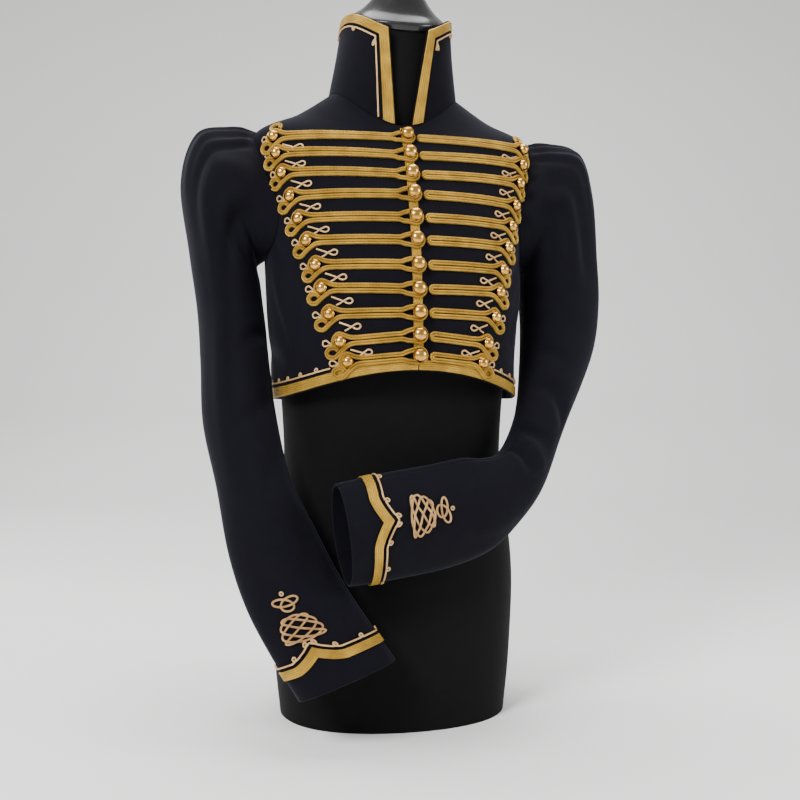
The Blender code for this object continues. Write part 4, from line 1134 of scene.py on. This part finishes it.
def frog_path(row, loops):
    """Control points of one frog, in millimetres out from the centre and up from the row."""
    out = row.half_span
    start = arc((out, 0), (BUTTON_WRAP, BUTTON_WRAP), WRAP_TURNS) + [(out - 8, STRAND_OFFSET + 1.2)]
    upper = [(x, STRAND_OFFSET) for x in np.linspace(out - 16, 17, 7)]
    if loops:
        turn = [(11, 4.8)] + arc((0, 0), (LOOP_RADIUS, LOOP_RADIUS), LOOP_ANGLES) + [(11, -4.8)]
    else:
        turn = [(14.5, 1.9), (13.6, 0), (14.5, -1.9)]
    lower = [(x, -STRAND_OFFSET) for x in np.linspace(17, out - 12, 7)]
    ring = [(out - 6, -4.6), (out + 0.5, -10.0)]
    ring += arc((out + RING_CENTRE[0], RING_CENTRE[1]), RING_RADII, RING_TURNS)
    return smooth_path(start + upper + turn + lower + ring, CORD_STEP)


def nearness(distance, near, far):
    """1 within the nearer distance, falling to 0 at the farther one."""
    return np.clip((far - distance) / (far - near), 0, 1)


def cloth_lift(path, angle, ring):
    """Height of a cord over the cloth, more where it crosses the front or hem lace."""
    over_front = nearness(np.abs(path[:, 0]), FRONT_LACE_NEAR, FRONT_LACE_FAR)
    over_hem = nearness(row_length(angle) * ring, HEM_LACE_NEAR, HEM_LACE_FAR)
    return OVER_LACE * np.maximum(over_front, over_hem)


trims = {"left": [], "right": []}
for number, row in enumerate(FROG_ROWS, 1):
    for side_name, side in SIDES.items():
        path = frog_path(row, side_name == "right")
        angle, ring = row_coordinates(row, side, path[:, 0], path[:, 1])
        low = FROG_LIFT - CORD_SINK + cloth_lift(path, angle, ring)
        node = f"frog_{side_name}_{number:02d}"
        trims[side_name].append(cord_on(f"{node}_cord", jacket_at, angle, ring, low, CORD_HALF, CORD_HEIGHT,
                                        RIBBED, CORD, nodes=[node]))
print(2 * len(FROG_ROWS), "frog cords")

# %% [markdown]
# ## Buttons
# The buttons are hollow domes with a rolled rim. The centre ones stand on a shank through the cord loop.

# %% Buttons
DOME = ((0.0, -0.82), (0.55, -0.80), (0.80, -0.62), (0.97, -0.30), (1.02, -0.12), (1.03, 0.0), (0.985, 0.10),
        (0.96, 0.22), (0.88, 0.46), (0.74, 0.66), (0.55, 0.83), (0.30, 0.95), (0.10, 0.995), (0.01, 1.0))
BUTTON_SIDES = 32
Button = namedtuple("Button", "half_width half_height centre shank")
CENTRE_BUTTON = Button(7.3 * MM, 5.6 * MM, 9.2 * MM, 1.9 * MM)
SIDE_BUTTON = Button(6.0 * MM, 4.8 * MM, 5.4 * MM, None)


def dome(name, row, side, reach, button, nodes=()):
    """Domed button standing off a frog row at a distance from the middle, with its shank when it has one."""
    angle, ring = row_coordinates(row, side, np.array(reach), np.array(0.0))
    profile = [(max(r, 0.01) * button.half_width, button.centre + h * button.half_height) for r, h in DOME]
    if button.shank is not None:
        shank_top = button.centre - button.half_height * 0.8
        shank = [(0.1 * MM, button.shank), (2.2 * MM, button.shank), (2.1 * MM, shank_top)]
        profile = shank + profile[1:]
    profile = smooth_rows(np.array(profile), np.linspace(0, len(profile) - 1, 3 * len(profile)))
    sections = turned(profile, jacket_at(angle, ring), outward(jacket_at, angle, ring), BUTTON_SIDES)
    return loft(name, sections, BRASS, nodes)


for number, row in enumerate(FROG_ROWS, 1):
    nodes = [f"button_{number:02d}"]
    trims["left"].append(dome(f"centre_button_{number:02d}", row, 1, 0.0, CENTRE_BUTTON, nodes))
    for side_name, side in SIDES.items():
        name = f"side_button_{side_name}_{number:02d}"
        trims[side_name].append(dome(name, row, side, row.half_span, SIDE_BUTTON))
print(3 * len(FROG_ROWS), "buttons")

# %% [markdown]
# ## Thin soutache
# A paler cord, two millimetres wide, makes the small ornaments: an eyelet outside each side button, a
# crossed loop below each frog's end, and a line that follows every lace with a little eyelet now and then.

# %% Eyelets and crossed loops beside the frogs
THIN_HALF = 0.95 * MM
THIN_HEIGHT = 1.3 * MM
THIN_STEP = 0.9
CROSSING_NEAR, CROSSING_FAR = 1.2, 3.0
EYELET = ((9.0, -1.6), (12.0, -0.4), (14.4, 1.6), (16.8, 2.8), (19.4, 2.0), (20.4, -0.4), (19.0, -2.6),
          (16.2, -3.0), (13.4, -2.4), (9.8, -3.0))
TOP_ROWS = 3
TOP_EYELET_SHARE = 0.84
CROSSED = ((-8.5, -9.0), (-13.0, -10.8), (-17.5, -12.6), (-21.0, -14.2), (-23.8, -15.8), (-26.8, -16.0),
           (-28.8, -14.0), (-28.0, -11.4), (-25.4, -10.6), (-22.8, -11.9), (-19.8, -14.2), (-16.6, -16.2),
           (-13.6, -17.8))


def thin_cord(name, surface, angle, row, low, side=1):
    """Thin soutache that follows surface coordinates."""
    return cord_on(name, surface, angle, row, low, THIN_HALF, THIN_HEIGHT, ROUND, SOUTACHE, side)


def thin_on_front(name, row, side, control):
    """Thin cord near the outer end of a frog row. Its second half passes over its first where they meet."""
    path = smooth_path([(row.half_span + x, y) for x, y in control], THIN_STEP)
    angle, ring = row_coordinates(row, side, path[:, 0], path[:, 1])
    order = np.arange(len(path))
    neighbours = np.abs(np.subtract.outer(order, order)) < 6
    gap = np.linalg.norm(path[:, None] - path[None], axis=-1) + 100 * neighbours
    over = nearness(gap.min(1), CROSSING_NEAR, CROSSING_FAR) * (order > len(path) / 2)
    low = LIFT + cloth_lift(path, angle, ring) + THIN_HEIGHT * 0.9 * over
    return thin_cord(name, jacket_at, angle, ring, low)


for number, row in enumerate(FROG_ROWS, 1):
    for side_name, side in SIDES.items():
        share = TOP_EYELET_SHARE if number <= TOP_ROWS else 1
        eyelet = [(x * share, y) for x, y in EYELET]
        end = f"{side_name}_{number:02d}"
        trims[side_name].append(thin_on_front(f"eyelet_{end}", row, side, eyelet))
        if number < len(FROG_ROWS):
            trims[side_name].append(thin_on_front(f"crossed_loop_{end}", row, side, CROSSED))
print(4 * len(FROG_ROWS) - 2, "small soutache ornaments")

# %% Open curls above the top row's side buttons
CURL_RADII = (5.2, 4.6)
CURL_CENTRE = (1.5, 12.0)
CURL_TURNS = (262, 300, 338, 16, 54, 92, 130, 168, 206)
CURL_HALF = 2.1 * MM
CURL_HEIGHT = 2.0 * MM
top_row = FROG_ROWS[0]
for side_name, side in SIDES.items():
    control = arc((top_row.half_span + CURL_CENTRE[0], CURL_CENTRE[1]), CURL_RADII, CURL_TURNS)
    path = smooth_path([(top_row.half_span - 6, 6.4)] + control, THIN_STEP)
    angle, ring = row_coordinates(top_row, side, path[:, 0], path[:, 1])
    trims[side_name].append(cord_on(f"top_curl_{side_name}", jacket_at, angle, ring, FROG_LIFT, CURL_HALF,
                                    CURL_HEIGHT, RIBBED, CORD))
print("one curl above each end of the top row")

# %% [markdown]
# ## Soutache beside the laces
# The line beside a lace is one thin cord. Where it forms an eyelet it leaves the line, turns a small
# circle and comes back, which is drawn here by adding a circle's points to the offset and the length.


# %% Line with eyelets
EYELET_RADIUS = 1.7
EYELET_TURNS = (-60, -20, 30, 90, 150, 200, 240)
EYELET_RISE = 1.35
EYELET_FOOT = 1.2
SOUTACHE_GAP = 4.3
LONG_GAP = 12
GAP_STEP = 8


def with_eyelets(start, end, offset, places):
    """Path of lengths and offsets: a straight line with small loops on one side at the given lengths."""
    path = [(start, offset)]
    for place in sorted(places):
        centre = (place, offset + EYELET_RADIUS * EYELET_RISE)
        path.append((place - EYELET_FOOT * EYELET_RADIUS, offset))
        path += arc(centre, (EYELET_RADIUS, EYELET_RADIUS), EYELET_TURNS)
        path.append((place + EYELET_FOOT * EYELET_RADIUS, offset))
    path.append((end, offset))
    filled = [path[0]]
    for step in path[1:]:
        gap = step[0] - filled[-1][0]
        if gap > LONG_GAP:
            between = np.linspace(filled[-1][0], step[0], int(gap / GAP_STEP) + 2)[1:-1]
            filled += [(x, offset) for x in between]
        filled.append(step)
    return smooth_path(filled, THIN_STEP)


# %% Soutache inside the collar's lace
COLLAR_EYELETS = (10, 52, 93)
CORNER_EYELETS = (2, -34)
COLLAR_END = 9


def collar_place(path):
    """Collar coordinates of lengths along its edge line and distances in from the edge, in millimetres."""
    places = []
    for length, distance in path:
        angle, row = collar_line(distance * MM)
        run = run_length(collar_at(angle, row)) / MM
        places.append([np.interp(length + run[-1] / 2, run, line) for line in (angle, row)])
    return np.transpose(places)


lace_offset = (EDGE_INSET + LACE_WIDTH) / MM + SOUTACHE_GAP
run = run_length(collar_at(*collar_line(lace_offset * MM)))[-1] / MM
half_run = run / 2 - 1
corner = half_run - (COLLAR_TALL / MM - lace_offset)
eyelets = [corner + place for place in CORNER_EYELETS] + list(COLLAR_EYELETS)
eyelets = [sign * place for sign in (-1, 1) for place in eyelets]
path = with_eyelets(-corner - COLLAR_END, half_run, lace_offset, eyelets)
collar_soutache = thin_cord("collar_soutache", collar_at, *collar_place(path), LIFT)
print("collar soutache", round(run), "mm")

# %% Soutache above the hem, at the sides and back
HEM_START = 92.0
HEM_EYELET_STEP = 22.0
angle, row = hem_line(lace_offset * MM)
run = run_length(jacket_at(angle, row)) / MM
hem_marks = np.arange(HEM_START + 14, run[-1] - HEM_START - 8, HEM_EYELET_STEP)
path = with_eyelets(HEM_START, run[-1] - HEM_START, lace_offset, hem_marks)
angle = np.interp(path[:, 0], run, angle)
hem_soutache = thin_cord("hem_soutache", jacket_at, angle, path[:, 1] * MM / row_length(angle), LIFT)
print("hem soutache with", len(hem_marks), "eyelets")

# %% Soutache above the cuff lace
CUFF_EYELETS = (-75, -48, -21, -4.5, 4.5, 21, 48, 75)
CUFF_OFFSET = CUFF_LACE_WIDTH / 2 / MM + SOUTACHE_GAP - 0.4
CUFF_END = 3
cuff_trims = {"left": [], "right": []}
for side_name, side in SIDES.items():
    length = cuff_lengths(side_name)[1] / MM
    path = with_eyelets(length[0] + CUFF_END, length[-1] - CUFF_END, CUFF_OFFSET, CUFF_EYELETS)
    a, b = cuff_line(side_name, path[:, 0] * MM, path[:, 1] * MM)
    cuff_trims[side_name].append(thin_cord(
        f"cuff_soutache_{side_name}", sleeve_at[side_name], a, b, SLEEVE_LIFT, side))
print("cuff soutache on both sleeves")

# %% [markdown]
# ## Cuff knots
# Above the point of each cuff lace lies an interlaced lattice, and beyond it a three-lobed knot. Both are
# closed curves given by a few sines. The script finds where a curve crosses itself and lets the cord pass
# over and under in turn, as a braider lays it.

# %% Woven curves
KNOT_CENTRE = {"left": 76.5 * MM, "right": 66.5 * MM}
KNOT_HALF_ALONG = 12.0 * MM
KNOT_HALF_ACROSS = 19.0 * MM
KNOT_TURNS = (3, 4)
TREFOIL_CENTRE = {"left": 100.0 * MM, "right": 92.0 * MM}
TREFOIL_ALONG = 2.6 * MM
TREFOIL_ACROSS = 4.6 * MM
KNOT_LIFT = 0.6 * MM
KNOT_TAPER = 0.22
KNOT_BARREL = 0.16
KNOT_HALF = 1.0 * MM
KNOT_HEIGHT = 1.15 * MM
KNOT_WEAVE = 0.75 * MM
KNOT_RAMP = 0.16
KNOT_STEPS = 460
KNOT_SAMPLES = 720
TIP_RISE = 9.8 * MM
TIP_RADIUS = 1.6 * MM
TIP_HALF = 0.8 * MM
TIP_STEPS = 28


def crossings(path):
    """Times, as shares of a closed flat path, at which it passes another part of itself."""
    times = []
    count = len(path)
    after = np.roll(path, -1, axis=0) - path
    for i in range(count):
        others = np.arange(i + 2, count if i else count - 1)
        gap = path[others] - path[i]
        det = after[i, 0] * after[others, 1] - after[i, 1] * after[others, 0]
        det = np.where(det == 0, 1e-12, det)
        here = (gap[:, 0] * after[others, 1] - gap[:, 1] * after[others, 0]) / det
        there = (gap[:, 0] * after[i, 1] - gap[:, 1] * after[i, 0]) / det
        hit = (here >= 0) & (here < 1) & (there >= 0) & (there < 1)
        times += list((i + here[hit]) / count) + list((others[hit] + there[hit]) / count)
    return np.sort(times)


def woven_heights(curve, share):
    """Height at each share of a closed curve, over and under at one crossing after another."""
    times = crossings(curve(np.linspace(0, 1, KNOT_SAMPLES, endpoint=False)))
    starts = np.append(times, times[0] + 1)
    late = np.where(share < times[0], share + 1, share)
    k = np.clip(np.searchsorted(starts, late, side="right") - 1, 0, len(times) - 1)
    part = (late - starts[k]) / (starts[k + 1] - starts[k])
    part = np.clip((part - KNOT_RAMP) / (1 - 2 * KNOT_RAMP), 0, 1)
    return (-1.0) ** k * np.cos(math.pi * part)


def woven_cord(name, side_name, curve, node):
    """Closed cord on a cuff that follows a flat curve and weaves over and under itself."""
    share = np.linspace(0, 1, KNOT_STEPS, endpoint=False)
    path = curve(share)
    a, b = cuff_coordinates(side_name, path[:, 0], path[:, 1])
    low = KNOT_LIFT + KNOT_WEAVE * (1 + woven_heights(curve, share))
    cuff_trims[side_name].append(cord_on(
        f"{name}_{side_name}", sleeve_at[side_name], a, b, low, KNOT_HALF, KNOT_HEIGHT, RIBBED, SOUTACHE,
        SIDES[side_name], closed=True, nodes=[f"{node}_{side_name}"]))


# %% Lattice and three-lobed knots
for side_name in SIDES:
    def lattice(share):
        t = 2 * math.pi * share
        sideways = np.cos(KNOT_TURNS[1] * t + 0.5 * math.pi / KNOT_TURNS[0])
        up = np.cos(KNOT_TURNS[0] * t)
        across = KNOT_HALF_ACROSS * sideways * (1 - KNOT_TAPER * up - KNOT_BARREL * up ** 2)
        along = KNOT_CENTRE[side_name] + KNOT_HALF_ALONG * up * (1.08 - KNOT_BARREL * sideways ** 2)
        return np.stack((across, along), axis=-1)

    def trefoil(share):
        t = 2 * math.pi * share
        across = TREFOIL_ACROSS * (np.sin(t) + 2 * np.sin(2 * t))
        along = TREFOIL_CENTRE[side_name] + TREFOIL_ALONG * (np.cos(t) - 2 * np.cos(2 * t))
        return np.stack((across, along), axis=-1)

    woven_cord("cuff_lattice", side_name, lattice, "knot")
    woven_cord("cuff_trefoil", side_name, trefoil, "trefoil")
    turn = np.linspace(0, 2 * math.pi, TIP_STEPS, endpoint=False)
    tip_up = TREFOIL_CENTRE[side_name] + TIP_RISE + TIP_RADIUS * np.cos(turn)
    a, b = cuff_coordinates(side_name, TIP_RADIUS * np.sin(turn), tip_up)
    cuff_trims[side_name].append(cord_on(
        f"cuff_tip_{side_name}", sleeve_at[side_name], a, b, KNOT_LIFT, TIP_HALF, KNOT_HEIGHT, ROUND,
        SOUTACHE, SIDES[side_name], closed=True))
print("cuff knots")

# %% [markdown]
# ## Cloth areas
# Each panel is a sheet of cloth, with the size of its flat cut taken from its own surface plus a seam
# allowance. Its area, with a little spare but no more than the flat cut, is printed.

# %% Sheets
SHEET_SPARE = 1.02
for node, (obj, flat, area) in cloths.items():
    area = min(area * SHEET_SPARE, flat[0] * flat[1])
    print(node, "area", round(area, 4))
